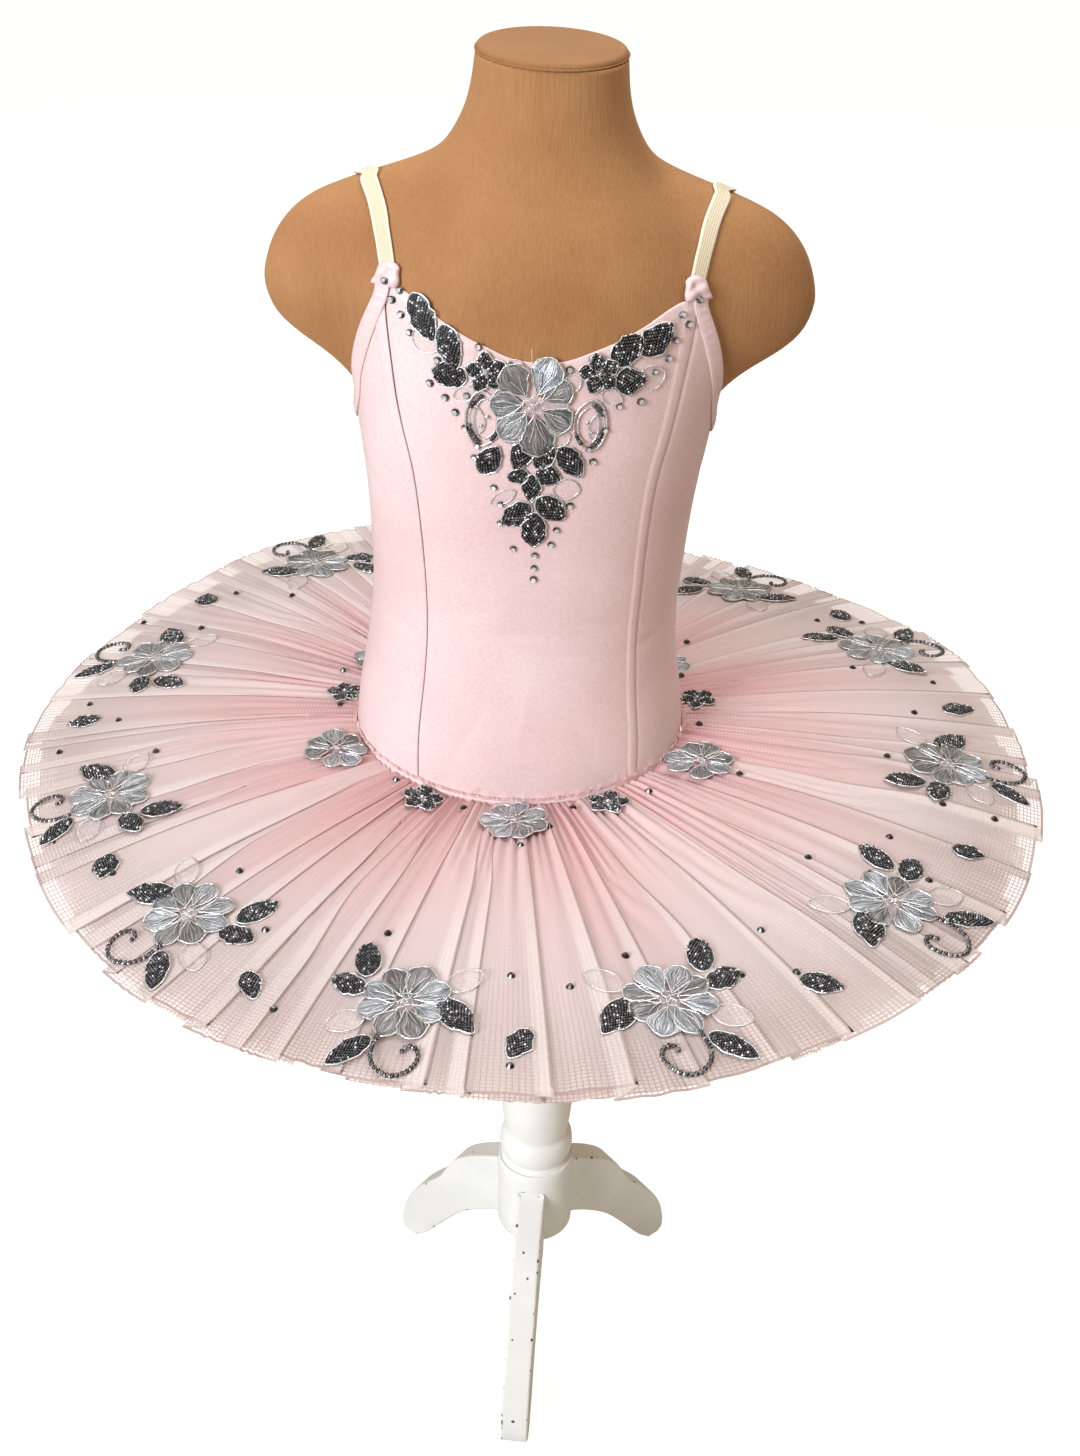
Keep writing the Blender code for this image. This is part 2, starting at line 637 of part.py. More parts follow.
def block_cutter():
    made = CUTTERS.objects.get("block_cutter")
    if made:
        return made
    mesh = bmesh.new()
    bmesh.ops.create_cone(mesh, cap_ends=True, segments=64, radius1=BLOCK_RADIUS + EDGE_GAP,
                          radius2=BLOCK_RADIUS + EDGE_GAP, depth=0.2)
    bmesh.ops.translate(mesh, verts=mesh.verts, vec=(*POST, 0.15))
    data = bpy.data.meshes.new("block_cutter")
    mesh.to_mesh(data)
    mesh.free()
    made = bpy.data.objects.new("block_cutter", data)
    made.hide_render = True
    made.display_type = "WIRE"
    CUTTERS.objects.link(made)
    return made


PARTS, CUTTERS = start_scene()
form_torso()
form_neck_cap()
bodice()
bindings_and_straps()
brief()
skirt()
trim()
post()
for leg_name, leg_angle in LEG_ANGLES.items():
    leg("stand_leg_" + leg_name, leg_angle)
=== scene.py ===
"""Looks of a ballet tutu on its dress form: stretch satin bodice, net skirt, beaded lace trim.

Metres, +Z up, the front faces -Y. Degrees round the body are from the front centre, positive
towards +X. Flat pieces of lace are drawn in millimetres and then laid on the cloth.
"""
import math
import random
from functools import lru_cache

import bmesh
import bpy
from mathutils import Matrix, Vector, noise
from mathutils.bvhtree import BVHTree


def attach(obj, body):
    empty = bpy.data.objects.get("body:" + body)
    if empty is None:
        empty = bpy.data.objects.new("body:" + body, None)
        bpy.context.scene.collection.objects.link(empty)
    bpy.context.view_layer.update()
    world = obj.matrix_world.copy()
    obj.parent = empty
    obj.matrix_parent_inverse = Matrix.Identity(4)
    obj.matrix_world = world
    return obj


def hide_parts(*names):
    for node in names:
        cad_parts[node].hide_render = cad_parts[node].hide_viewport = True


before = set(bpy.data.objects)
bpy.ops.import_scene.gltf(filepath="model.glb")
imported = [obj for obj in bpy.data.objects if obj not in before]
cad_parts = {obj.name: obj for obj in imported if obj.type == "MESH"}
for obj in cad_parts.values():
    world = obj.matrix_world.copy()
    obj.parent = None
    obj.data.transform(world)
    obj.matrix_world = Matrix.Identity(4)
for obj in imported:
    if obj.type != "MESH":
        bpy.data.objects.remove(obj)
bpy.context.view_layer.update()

MM = 0.001
MERGE = 0.00002         # points closer than this are made one

# ------------------------------------------------------------- shape of the form and the cloth

GAP = 0.0007            # between cloth and the form under it
EDGE_GAP = 0.0003       # between pieces that are sewn edge to edge
ARM_LIFT = 0.0005       # the side panels bridge the crease in front of the arm by this much
CLOTH = 0.0010          # wall of the stretch cloth
ELASTIC = 0.0009        # wall of the straps
TAB_WALL = 0.0012       # wall of the folded tabs
CLOTH_MID = GAP + 0.0006    # middle of the stretch cloth's wall, over the form
CAD_CLOTH = 0.0012      # wall of the stretch cloth in CAD, which all that lies on it is set by
LACE_SEAT = GAP + 0.0016    # underside of the lace on the bodice, over the form
SIDES = (("left", -1), ("right", 1))

BODY = (  # height, half width, half depth, stub half width, stub half depth
    (0.587, 0.1110, 0.0880, 0.000, 0.000),
    (0.605, 0.1125, 0.0902, 0.000, 0.000),
    (0.630, 0.1135, 0.0908, 0.000, 0.000),
    (0.660, 0.1113, 0.0875, 0.000, 0.000),
    (0.700, 0.1050, 0.0805, 0.000, 0.000),
    (0.740, 0.1018, 0.0760, 0.000, 0.000),
    (0.780, 0.1030, 0.0762, 0.000, 0.000),
    (0.820, 0.1058, 0.0780, 0.000, 0.000),
    (0.860, 0.1110, 0.0800, 0.000, 0.000),
    (0.885, 0.1135, 0.0798, 0.094, 0.020),
    (0.900, 0.1145, 0.0790, 0.126, 0.030),
    (0.920, 0.1140, 0.0770, 0.157, 0.037),
    (0.940, 0.1120, 0.0740, 0.168, 0.040),
    (0.960, 0.1075, 0.0700, 0.166, 0.039),
    (0.980, 0.0990, 0.0640, 0.156, 0.035),
    (0.995, 0.0900, 0.0590, 0.139, 0.030),
    (1.006, 0.0810, 0.0545, 0.114, 0.025),
    (1.016, 0.0715, 0.0510, 0.084, 0.020),
    (1.030, 0.0600, 0.0475, 0.040, 0.010),
    (1.045, 0.0515, 0.0450, 0.000, 0.000),
    (1.060, 0.0468, 0.0438, 0.000, 0.000),
    (1.081, 0.0440, 0.0433, 0.000, 0.000))
FORM_ROWS = (0.610, 0.635, 0.660, 0.700, 0.740, 0.785, 0.830, 0.860, 0.880, 0.895, 0.912, 0.930,
             0.950, 0.967, 0.982, 0.994, 1.004, 1.013, 1.022, 1.034, 1.047, 1.060, 1.072, 1.081)
ROUNDNESS = 2.2         # of the body's sections: 2 is an ellipse
STUB_ROUNDNESS = 2.4    # of the stubs of the arms
BLEND = 8.0             # how closely the stubs' ends run into the body
BOTTOM = 0.575          # height of the form's underside
BOTTOM_EDGE = 0.012     # radius of the form's lower edge
CORNER = BOTTOM + BOTTOM_EDGE   # height where that edge starts
NECK_TILT = 0.068       # slope of the neck's top
NECK_FOOT = 1.03        # height where the neck starts to tilt
NECK_RISE = 0.045       # over which the tilt grows to its full slope
CAP_RADIUS = 0.0437
CAP_ROUNDING = 0.0026
HIP = 0.626             # height of the hip seam at the front
AXIS = (-0.0071, 0.0025)    # where the body's axis stands
LEAN = 0.030            # sideways slope of the form above the hip
LEAN_RAMP = 0.15        # height over which the slope grows
BODY_REACH = 0.105      # mean radius of the body, which turns degrees into metres
SEAM_REACH = 0.13       # the same for the gaps at the seams

SEAM_RISE = 0.014       # how much higher the hip seam runs at the sides
FRONT_TWIST = 3.6       # degrees by which the front panel has turned on the form at the hip
# The next tables hold degrees from the front and heights.
PRINCESS = ((45.0, 0.610), (45.0, 0.630), (46.5, 0.670), (47.5, 0.710), (48.5, 0.750),
            (49.3, 0.810), (50.5, 0.850), (54.0, 0.880), (57.5, 0.910), (63.0, 0.952))
NECKLINE = ((0, 0.9237), (12, 0.9257), (23, 0.9311), (33, 0.9367), (43, 0.9442), (52, 0.9520),
            (58, 0.9558), (64, 0.9565))
ARMHOLE = ((66.4, 0.9565), (66.3, 0.9495), (68.6, 0.935), (72.4, 0.915), (75.7, 0.900),
           (80.2, 0.880), (90.0, 0.866), (101, 0.869), (112, 0.880), (121, 0.896), (128, 0.915))
BACK_TOP = ((127, 0.913), (137, 0.898), (150, 0.884), (165, 0.876), (180, 0.874))
STRAP = ((65.6, 0.9690), (70.4, 0.983), (76.6, 0.998), (83.4, 1.0072), (90.0, 1.0093),
         (104, 0.998), (113, 0.978), (120, 0.950), (125.2, 0.9185))
STRAP_TUCK = (64.4, 0.9655)     # where the strap ends, inside its tab
STRAP_WIDTH = 0.010
BINDING_WIDTH = 0.009
TAB = (59.2, 67.6, 0.9570, 0.9655)      # first and last degree, lowest and highest point
SIDE_SEAM = 90.0        # degrees from the front
TURNING_WIDTH = 0.0075      # of the seam's turnings, pressed to one side under the cloth
TURNING_LIFT = 0.00060
HEM_STITCH_DEPTH = 0.0055   # a faint ridge this far below the top edge, where its hem ends
HEM_STITCH_LIFT = 0.00030

HEM_SHIFT = 0.010       # the skirt's hem sits this much towards +X
HEM_RADIUS = 0.357      # of the top ring
HEM_HEIGHTS = (         # degrees from the front, height
    (-180, 0.621), (-150, 0.632), (-120, 0.621), (-90, 0.617), (-55, 0.611), (-30, 0.606),
    (0, 0.616), (45, 0.615), (90, 0.617), (112, 0.613), (145, 0.604), (162, 0.609), (180, 0.621))
SKIRT_SEAM_RADIUS = 0.115
SKIRT_HUMP = 0.006      # rise of the skirt half way out
LAYER_DROP = 0.0085     # from one ring's hem down to the next
LAYER_PITCH = 0.0030    # the same at the seam
LAYER_STEP = 0.009      # each ring is this much shorter than the one above
NET_LENGTH = 0.246      # from the seam to the hem


def blend(table, at, column=1, key=0):
    """A smooth curve through one column of a table, read at a value of its key column."""
    keys = [row[key] for row in table]
    if at <= keys[0]:
        return table[0][column]
    if at >= keys[-1]:
        return table[-1][column]
    i = max(n for n in range(len(keys) - 1) if keys[n] <= at)
    before, after = max(i - 1, 0), min(i + 2, len(keys) - 1)
    value = [row[column] for row in table]
    span = keys[i + 1] - keys[i]
    t = (at - keys[i]) / span
    slope_in = (value[i + 1] - value[before]) / (keys[i + 1] - keys[before]) * span
    slope_out = (value[after] - value[i]) / (keys[after] - keys[i]) * span
    return ((2 * t ** 3 - 3 * t ** 2 + 1) * value[i] + (t ** 3 - 2 * t ** 2 + t) * slope_in
            + (3 * t ** 2 - 2 * t ** 3) * value[i + 1] + (t ** 3 - t ** 2) * slope_out)


def ease(t):
    t = min(max(t, 0.0), 1.0)
    return t * t * (3 - 2 * t)


def hill(t):
    """1 at the middle of a crease, falling away smoothly."""
    return math.exp(-t * t)


def superellipse(side, front, half_width, half_depth, roundness):
    """Distance to a rounded section's edge in a direction of (side, front)."""
    if half_width < 0.001 or half_depth < 0.001:
        return 0.0
    total = (side / half_width) ** roundness + (front / half_depth) ** roundness
    return total ** (-1 / roundness)


@lru_cache(maxsize=200000)
def body_section(z):
    return tuple(blend(BODY, z, column) for column in (1, 2, 3, 4))


@lru_cache(maxsize=400000)
def body_radius(degrees, z):
    """Distance from the body's axis to the form's skin."""
    half_width, half_depth, stub_width, stub_depth = body_section(z)
    side, front = abs(math.sin(math.radians(degrees))), abs(math.cos(math.radians(degrees)))
    chest = superellipse(side, front, half_width, half_depth, ROUNDNESS)
    stub = superellipse(side, front, stub_width, stub_depth, STUB_ROUNDNESS)
    return (chest ** BLEND + stub ** BLEND) ** (1 / BLEND)


def wrapped(degrees):
    """The same direction, from -180 to 180 degrees."""
    return (degrees + 180) % 360 - 180


def polar(degrees, radius, z):
    turn = math.radians(degrees)
    return Vector((radius * math.sin(turn), -radius * math.cos(turn), z))


def body_point(degrees, z, off=0.0):
    """A point over the form's skin, moved out along the skin's normal."""
    here = polar(degrees, body_radius(degrees, z), z)
    around = polar(degrees + 1, body_radius(degrees + 1, z), z) - here
    upward = polar(degrees, body_radius(degrees, z + 0.002), z + 0.002) - here
    return here + around.cross(upward).normalized() * off


def in_place(point):
    """From the body's own axis to the part's frame: set aside at the hip, leaning above it."""
    share = LEAN * ease((point.z - HIP) / LEAN_RAMP)
    return Vector((point.x + share * (point.z - HIP) + AXIS[0], point.y + AXIS[1],
                   point.z - share * point.x))


def seam_height(degrees):
    """Height of the hip seam, above the hip at the sides."""
    return HIP - 0.002 + SEAM_RISE * math.sin(math.radians(degrees)) ** 2


def princess(z):
    """Degrees from the front to the princess seams."""
    return blend(PRINCESS, z, 0, 1)


def twist(z):
    """Degrees by which the front panel is turned on the form."""
    return FRONT_TWIST * ease((0.90 - z) / 0.20)


# ----------------------------------------------------------------------------------- materials

def colour(code):
    """A #rrggbb sRGB colour as linear RGBA."""
    parts = [int(code[i:i + 2], 16) / 255 for i in (1, 3, 5)]
    return (*[p / 12.92 if p <= 0.04045 else ((p + 0.055) / 1.055) ** 2.4 for p in parts], 1.0)


MIX_A, MIX_B = 6, 7     # the colour inputs of a Mix node


def new_material(name):
    made = bpy.data.materials.new(name)
    made.use_nodes = True
    made.node_tree.nodes.clear()
    return made, made.node_tree


def node(tree, kind, inputs=(), stops=(), **settings):
    """Adds a node with its settings. An input is a value, a socket that it is linked from, or a
    node, which stands for its first socket in use. Stops are positions and #rrggbb colours.
    A MapRange takes its value as 0, the range that it comes from as 1 and 2, and the range that
    it goes to as 3 and 4."""
    made = tree.nodes.new("ShaderNode" + kind)
    for key, value in settings.items():
        setattr(made, key, value)
    for key, value in dict(inputs).items():
        if isinstance(value, bpy.types.Node):
            value = next(socket for socket in value.outputs if socket.enabled)
        if isinstance(value, bpy.types.NodeSocket):
            tree.links.new(value, made.inputs[key])
        else:
            made.inputs[key].default_value = value
    for n, (position, code) in enumerate(stops):
        while n >= len(made.color_ramp.elements):
            made.color_ramp.elements.new(1.0)
        made.color_ramp.elements[n].position = position
        made.color_ramp.elements[n].color = colour(code)
    return made


def finish_material(made, shader):
    node(made.node_tree, "OutputMaterial", {"Surface": shader})
    return made


def knitted(name, stops, grain, cloud, share, bump, surface, wales=None):
    """A knit cloth. Its stitches are a fine grain that takes a share of the tint, the rest
    being soft clouds, and that stands up as a bump of some strength and distance."""
    made, tree = new_material(name)
    place = node(tree, "TexCoord").outputs["Object"]
    stitches = node(tree, "Mapping", {"Vector": place, "Scale": wales}) if wales else place
    grain = node(tree, "TexNoise", {"Vector": stitches, **grain})
    cloud = node(tree, "TexNoise", {"Vector": place, **cloud})
    tone = node(tree, "Math", {0: grain, 1: share}, operation="MULTIPLY")
    tone = node(tree, "Math", {0: cloud, 1: 1 - share, 2: tone}, operation="MULTIPLY_ADD")
    tint = node(tree, "ValToRGB", {"Fac": tone}, stops=stops)
    raised = node(tree, "Bump", {"Height": grain, "Strength": bump[0], "Distance": bump[1]})
    shader = node(tree, "BsdfPrincipled", {"Base Color": tint, **surface, "Normal": raised})
    return finish_material(made, shader)


def jersey(name, low, high):
    """Cotton jersey stretched over foam: matt, with the knit's wales as a fine upright grain
    and a short nap that lightens the edges. Wales are 0.8 mm apart; drawn 1.4 mm apart so that
    they show."""
    return knitted(name, ((0.30, low), (0.70, high)),
                   {"Scale": 1.0, "Detail": 3.0, "Roughness": 0.6},
                   {"Scale": 14.0, "Detail": 3.0}, 0.35, (0.5, 0.0008),
                   {"Roughness": 0.82, "Specular IOR Level": 0.25, "Sheen Weight": 0.25,
                    "Sheen Roughness": 0.5, "Sheen Tint": colour("#e8c9a0")}, (700, 700, 26))


def stretch_satin():
    """Nylon and elastane satin: a smooth filament face with a soft broad shine and a fine
    pebbled knit. Stitches are 0.4 mm; drawn as a 1.7 mm pebble so that the knit shows."""
    return knitted("nylon and elastane satin, pale pink", ((0.34, "#debdbc"), (0.66, "#ebd7d6")),
                   {"Scale": 600.0, "Detail": 2.0, "Roughness": 0.55, "Distortion": 0.6},
                   {"Scale": 9.0, "Detail": 2.0}, 0.45, (0.30, 0.0005),
                   {"Roughness": 0.46, "Specular IOR Level": 0.6, "Sheen Weight": 0.14,
                    "Sheen Roughness": 0.35, "Sheen Tint": colour("#fbe9e8")})


def elastic():
    """Woven elastic braid: matt cotton face with ribs along the strap."""
    made, tree = new_material("woven elastic, cream")
    cut = node(tree, "SeparateXYZ", {0: node(tree, "UVMap", uv_map="cut")})
    # Ribs are 1 mm apart across the strap, weft picks 0.7 mm apart along it.
    rib = node(tree, "Math", {0: cut.outputs[1], 1: 2 * math.pi / 0.0014}, operation="MULTIPLY")
    rib = node(tree, "Math", {0: rib}, operation="SINE")
    pick = node(tree, "Math", {0: cut.outputs[0], 1: 2 * math.pi / 0.0011}, operation="MULTIPLY")
    pick = node(tree, "Math", {0: pick}, operation="SINE")
    weave = node(tree, "Math", {0: pick, 1: 0.5, 2: rib}, operation="MULTIPLY_ADD")
    tint = node(tree, "MapRange", {0: weave, 1: -1.5, 2: 1.5})
    tint = node(tree, "ValToRGB", {"Fac": tint}, stops=((0.0, "#cdbf9f"), (1.0, "#e6dac0")))
    # A smooth selvedge 1.2 mm wide runs along each edge.
    middle = node(tree, "Math", {0: cut.outputs[1], 1: STRAP_WIDTH / 2}, operation="SUBTRACT")
    middle = node(tree, "Math", {0: middle}, operation="ABSOLUTE")
    selvedge = node(tree, "MapRange", {0: middle, 1: 0.0036, 2: 0.0039})
    tint = node(tree, "Mix", {"Factor": selvedge, MIX_A: tint, MIX_B: colour("#efe6d0")},
                data_type="RGBA")
    bump = node(tree, "Bump", {"Height": weave, "Strength": 0.35, "Distance": 0.0002})
    shader = node(tree, "BsdfPrincipled", {
        "Base Color": tint, "Roughness": 0.75, "Specular IOR Level": 0.2,
        "Sheen Weight": 0.2, "Normal": bump})
    return finish_material(made, shader)


def net(name, stops, thread, waist_cover, hem_cover):
    """Stiff nylon tulle: a thin mesh that lets light through, denser and pinker where it is
    gathered and layered near the waist, whiter and clearer at the hem."""
    made, tree = new_material(name)
    uv = node(tree, "UVMap", uv_map="cut")
    cut = node(tree, "SeparateXYZ", {0: uv})
    lines = []
    # Meshes are 1.3 mm; drawn 2.4 mm so that they show.
    for axis in (0, 1):
        cell = node(tree, "Math", {0: cut.outputs[axis], 1: 1 / 0.0024}, operation="MULTIPLY")
        cell = node(tree, "Math", {0: cell, 1: 0.5}, operation="PINGPONG")
        lines.append(node(tree, "MapRange", {0: cell, 1: 0.05, 2: 0.19, 3: 1.0, 4: 0.0}))
    mesh = node(tree, "Math", {0: lines[0], 1: lines[1]}, operation="MAXIMUM")
    edge = node(tree, "MapRange", {0: cut.outputs[1], 1: NET_LENGTH - 0.0021,
                                   2: NET_LENGTH - 0.0015})
    mesh = node(tree, "Math", {0: mesh, 1: edge}, operation="MAXIMUM")
    out = node(tree, "Math", {0: cut.outputs[1], 1: 1 / NET_LENGTH}, operation="MULTIPLY")
    patch = node(tree, "Mapping", {"Vector": uv, "Scale": (24, 7, 1)})
    patch = node(tree, "TexNoise", {"Vector": patch, "Scale": 1.0, "Detail": 3.0})
    drift = node(tree, "Math", {0: patch, 1: 0.34, 2: out}, operation="MULTIPLY_ADD")
    fold = node(tree, "Attribute", attribute_name="tone").outputs["Fac"]
    drift = node(tree, "Math", {0: fold, 1: 0.36, 2: drift}, operation="MULTIPLY_ADD")
    along = node(tree, "MapRange", {0: drift, 1: 0.26, 2: 1.26})
    tint = node(tree, "ValToRGB", {"Fac": along}, stops=stops)
    # The mesh lines take the darker thread colour, more so towards the hem.
    worn = node(tree, "Math", {0: along, 1: 1.5}, operation="POWER")
    worn = node(tree, "Math", {0: mesh, 1: worn}, operation="MULTIPLY")
    tint = node(tree, "Mix", {"Factor": worn, MIX_A: tint, MIX_B: colour(thread)}, data_type="RGBA")
    # The fold tone lightens the net towards white: each flap's own paleness, cloth lying double,
    # and a painted highlight along each fold's edge.
    bright = node(tree, "Math", {0: fold, 1: 0.70}, operation="MULTIPLY")
    tint = node(tree, "Mix", {"Factor": bright, MIX_A: tint, MIX_B: colour("#fff8f5")},
                data_type="RGBA")
    thin = node(tree, "Math", {0: along, 1: 3.0}, operation="POWER")
    ground = node(tree, "MapRange", {0: thin, 3: waist_cover, 4: hem_cover})
    gain = node(tree, "Math", {0: 1.0, 1: ground}, operation="SUBTRACT")
    gain = node(tree, "Math", {0: gain, 1: 0.85}, operation="MULTIPLY")
    cover = node(tree, "Math", {0: mesh, 1: gain, 2: ground}, operation="MULTIPLY_ADD")
    cover = node(tree, "Math", {0: fold, 1: 0.34, 2: cover},
                 operation="MULTIPLY_ADD", use_clamp=True)
    face = node(tree, "BsdfPrincipled", {
        "Base Color": tint, "Roughness": 0.7, "Specular IOR Level": 0.25,
        "Sheen Weight": 0.3, "Sheen Roughness": 0.4})
    through = node(tree, "BsdfTranslucent", {"Color": tint})
    cloth = node(tree, "MixShader", {0: 0.42, 1: face, 2: through})
    shader = node(tree, "MixShader", {0: cover, 1: node(tree, "BsdfTransparent"), 2: cloth})
    return finish_material(made, shader)


def satin_stitch():
    """Silver rayon and foil thread in satin stitch: fans of parallel threads from the foot of each
    petal, crinkled, so that bright and dull threads lie side by side. The light and dark streaks
    along the strands are painted into the colour: partly the foil and rayon threads' own colours,
    partly painted highlights and painted shade on the crinkles."""
    made, tree = new_material("silver satin stitch")
    fan = node(tree, "SeparateXYZ", {0: node(tree, "UVMap", uv_map="cut")})
    tone = node(tree, "Attribute", attribute_name="tone").outputs["Fac"]
    other = node(tree, "Math", {0: tone, 1: 60.0}, operation="MULTIPLY")
    # Threads are 0.4 mm; drawn as about 1 mm strands so that they show.
    strand = node(tree, "CombineXYZ", {0: fan.outputs[0], 1: fan.outputs[1], 2: other})
    strand = node(tree, "Mapping", {"Vector": strand, "Scale": (24, 2.2, 1)})
    strand = node(tree, "TexNoise", {"Vector": strand, "Scale": 1.0, "Detail": 3.0,
                                     "Roughness": 0.65, "Distortion": 0.5})
    spread = node(tree, "MapRange", {0: strand, 1: 0.30, 2: 0.70})
    # Strands from dark to light: their own colours, with painted highlights and painted shade of
    # the crinkled thread.
    dull = node(tree, "ValToRGB", {"Fac": spread},
                stops=((0.1, "#4a4846"), (0.5, "#7b7875"),
                       (0.9, "#b5b3b1")))
    shiny = node(tree, "ValToRGB", {"Fac": spread},
                 stops=((0.1, "#525a61"), (0.45, "#98a1a9"),
                        (0.8, "#f4f8fb")))
    tint = node(tree, "Mix", {"Factor": tone, MIX_A: dull, MIX_B: shiny}, data_type="RGBA")
    bump = node(tree, "Bump", {"Height": strand, "Strength": 0.8, "Distance": 0.0012})
    shader = node(tree, "BsdfPrincipled", {
        "Base Color": tint, "Metallic": 0.5, "Roughness": 0.34,
        "Specular IOR Level": 0.5, "Normal": bump})
    return finish_material(made, shader)


def speckled(name, stops, scale, detail, surface, bump=None):
    """A surface whose tint, and bump if there is one, follow one fine noise."""
    made, tree = new_material(name)
    place = node(tree, "TexCoord").outputs["Object"]
    grain = node(tree, "TexNoise", {"Vector": place, "Scale": scale, "Detail": detail})
    inputs = {"Base Color": node(tree, "ValToRGB", {"Fac": grain}, stops=stops), **surface}
    if bump:
        inputs["Normal"] = node(tree, "Bump", {"Height": grain, "Strength": bump[0],
                                               "Distance": bump[1]})
    return finish_material(made, node(tree, "BsdfPrincipled", inputs))


def silver_cord():
    """Twisted lurex cord couched round each petal and leaf: bright metal foil."""
    return speckled("silver lurex cord", ((0.35, "#bfc3c6"), (0.65, "#ffffff")), 900.0, 1.0,
                    {"Metallic": 0.75, "Roughness": 0.30}, (0.6, 0.0004))


def dark_ground():
    """Black glitter ground under the beads: rough, with tiny bright flecks."""
    made, tree = new_material("gunmetal glitter ground")
    place = node(tree, "TexCoord").outputs["Object"]
    fleck = node(tree, "TexVoronoi", {"Vector": place, "Scale": 1100.0})
    tint = node(tree, "ValToRGB", {"Fac": fleck}, stops=((0.10, "#8b8f92"), (0.30, "#26282b")))
    shader = node(tree, "BsdfPrincipled", {"Base Color": tint, "Metallic": 0.3, "Roughness": 0.38})
    return finish_material(made, shader)


def bead(name, stops, metallic):
    """Glass seed beads with a metal lining: smooth and glossy, each with a point of light."""
    return speckled(name, stops, 420.0, 0.0,
                    {"Metallic": metallic, "Roughness": 0.18, "IOR": 1.52, "Coat Weight": 0.7,
                     "Coat Roughness": 0.08})


def clear_film():
    """Clear organza leaf: a faint pale film that catches light."""
    made, tree = new_material("clear organza")
    place = node(tree, "TexCoord").outputs["Object"]
    crimp = node(tree, "TexNoise", {"Vector": place, "Scale": 300.0, "Detail": 2.0})
    cover = node(tree, "MapRange", {0: crimp, 1: 0.3, 2: 0.7, 3: 0.14, 4: 0.34})
    bump = node(tree, "Bump", {"Height": crimp, "Strength": 0.5, "Distance": 0.0008})
    film = node(tree, "BsdfPrincipled", {
        "Base Color": colour("#eee6e4"), "Roughness": 0.22, "Specular IOR Level": 0.8,
        "Normal": bump})
    shader = node(tree, "MixShader", {0: cover, 1: node(tree, "BsdfTransparent"), 2: film})
    return finish_material(made, shader)


def white_paint():
    """Old brushed enamel on beech: a soft gloss with brush drag, and brown wood where edges
    and knocks have lost their paint."""
    made, tree = new_material("brushed enamel on beech, chipped")
    place = node(tree, "TexCoord").outputs["Object"]
    drag = node(tree, "Mapping", {"Vector": place, "Scale": (420, 420, 30)})
    drag = node(tree, "TexNoise", {"Vector": drag, "Scale": 1.0, "Detail": 2.0})
    cloud = node(tree, "TexNoise", {"Vector": place, "Scale": 25.0, "Detail": 3.0})
    paint = node(tree, "ValToRGB", {"Fac": cloud}, stops=((0.35, "#edf1ed"), (0.65, "#f4f8f5")))
    edge = node(tree, "Attribute", attribute_name="edge").outputs["Fac"]
    flake = node(tree, "TexNoise", {"Vector": place, "Scale": 170.0, "Detail": 4.0,
                                    "Roughness": 0.65})
    lost = node(tree, "Math", {0: edge, 1: 0.30, 2: flake}, operation="MULTIPLY_ADD")
    lost = node(tree, "MapRange", {0: lost, 1: 0.915, 2: 0.935})
    mask = lost
    for x, y, z, size in CHIPS:
        gap = node(tree, "VectorMath", {0: place, 1: (x, y, z)}, operation="DISTANCE")
        ragged = node(tree, "Math", {0: flake, 1: 0.0024, 2: gap}, operation="MULTIPLY_ADD")
        spot = node(tree, "MapRange", {0: ragged, 1: size + 0.0009, 2: size + 0.0012,
                                       3: 1.0, 4: 0.0})
        mask = node(tree, "Math", {0: mask, 1: spot}, operation="MAXIMUM")
    tint = node(tree, "Mix", {"Factor": mask, MIX_A: paint, MIX_B: colour("#6b4a39")},
                data_type="RGBA")
    rough = node(tree, "MapRange", {0: mask, 3: 0.38, 4: 0.8})
    height = node(tree, "Math", {0: mask, 1: -2.0, 2: drag}, operation="MULTIPLY_ADD")
    bump = node(tree, "Bump", {"Height": height, "Strength": 0.25, "Distance": 0.0003})
    shader = node(tree, "BsdfPrincipled", {
        "Base Color": tint, "Roughness": rough,
        "Specular IOR Level": 0.5, "Normal": bump})
    return finish_material(made, shader)


def loose_thread():
    """Cut ends of polyester sewing thread: soft and matt."""
    return speckled("polyester thread, pale pink", ((0.3, "#d9aaa2"), (0.7, "#f0cfc6")), 1500.0,
                    2.0, {"Roughness": 0.6})


def studio_floor():
    """Seamless paper with a glow of its own, so that it reads white from edge to edge."""
    made, tree = new_material("seamless paper, white")
    place = node(tree, "TexCoord").outputs["Object"]
    fibre = node(tree, "TexNoise", {"Vector": place, "Scale": 60.0, "Detail": 4.0})
    tint = node(tree, "ValToRGB", {"Fac": fibre}, stops=((0.3, "#c9c4bd"), (0.7, "#cec9c2")))
    paper = node(tree, "BsdfDiffuse", {"Color": tint})
    seen = node(tree, "LightPath").outputs["Is Camera Ray"]
    level = node(tree, "MapRange", {0: seen, 3: 0.06, 4: 0.88})
    glow = node(tree, "Emission", {"Color": colour("#ffffff"), "Strength": level})
    return finish_material(made, node(tree, "AddShader", {0: paper, 1: glow}))


# --------------------------------------------------------------------------- making and laying

def add_piece(name, mesh, materials, nodes=(), wall=0.0):
    """A finished piece on the one body, smooth, with a wall laid half to each side."""
    data = bpy.data.meshes.new(name)
    mesh.to_mesh(data)
    mesh.free()
    for material in materials:
        data.materials.append(material)
    data.polygons.foreach_set("use_smooth", [True] * len(data.polygons))
    made = bpy.data.objects.new(name, data)
    bpy.context.scene.collection.objects.link(made)
    if wall:
        solid = made.modifiers.new("wall", "SOLIDIFY")
        solid.thickness = wall
        solid.offset = 0
    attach(made, "root")
    if nodes:
        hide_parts(*nodes)
    return made


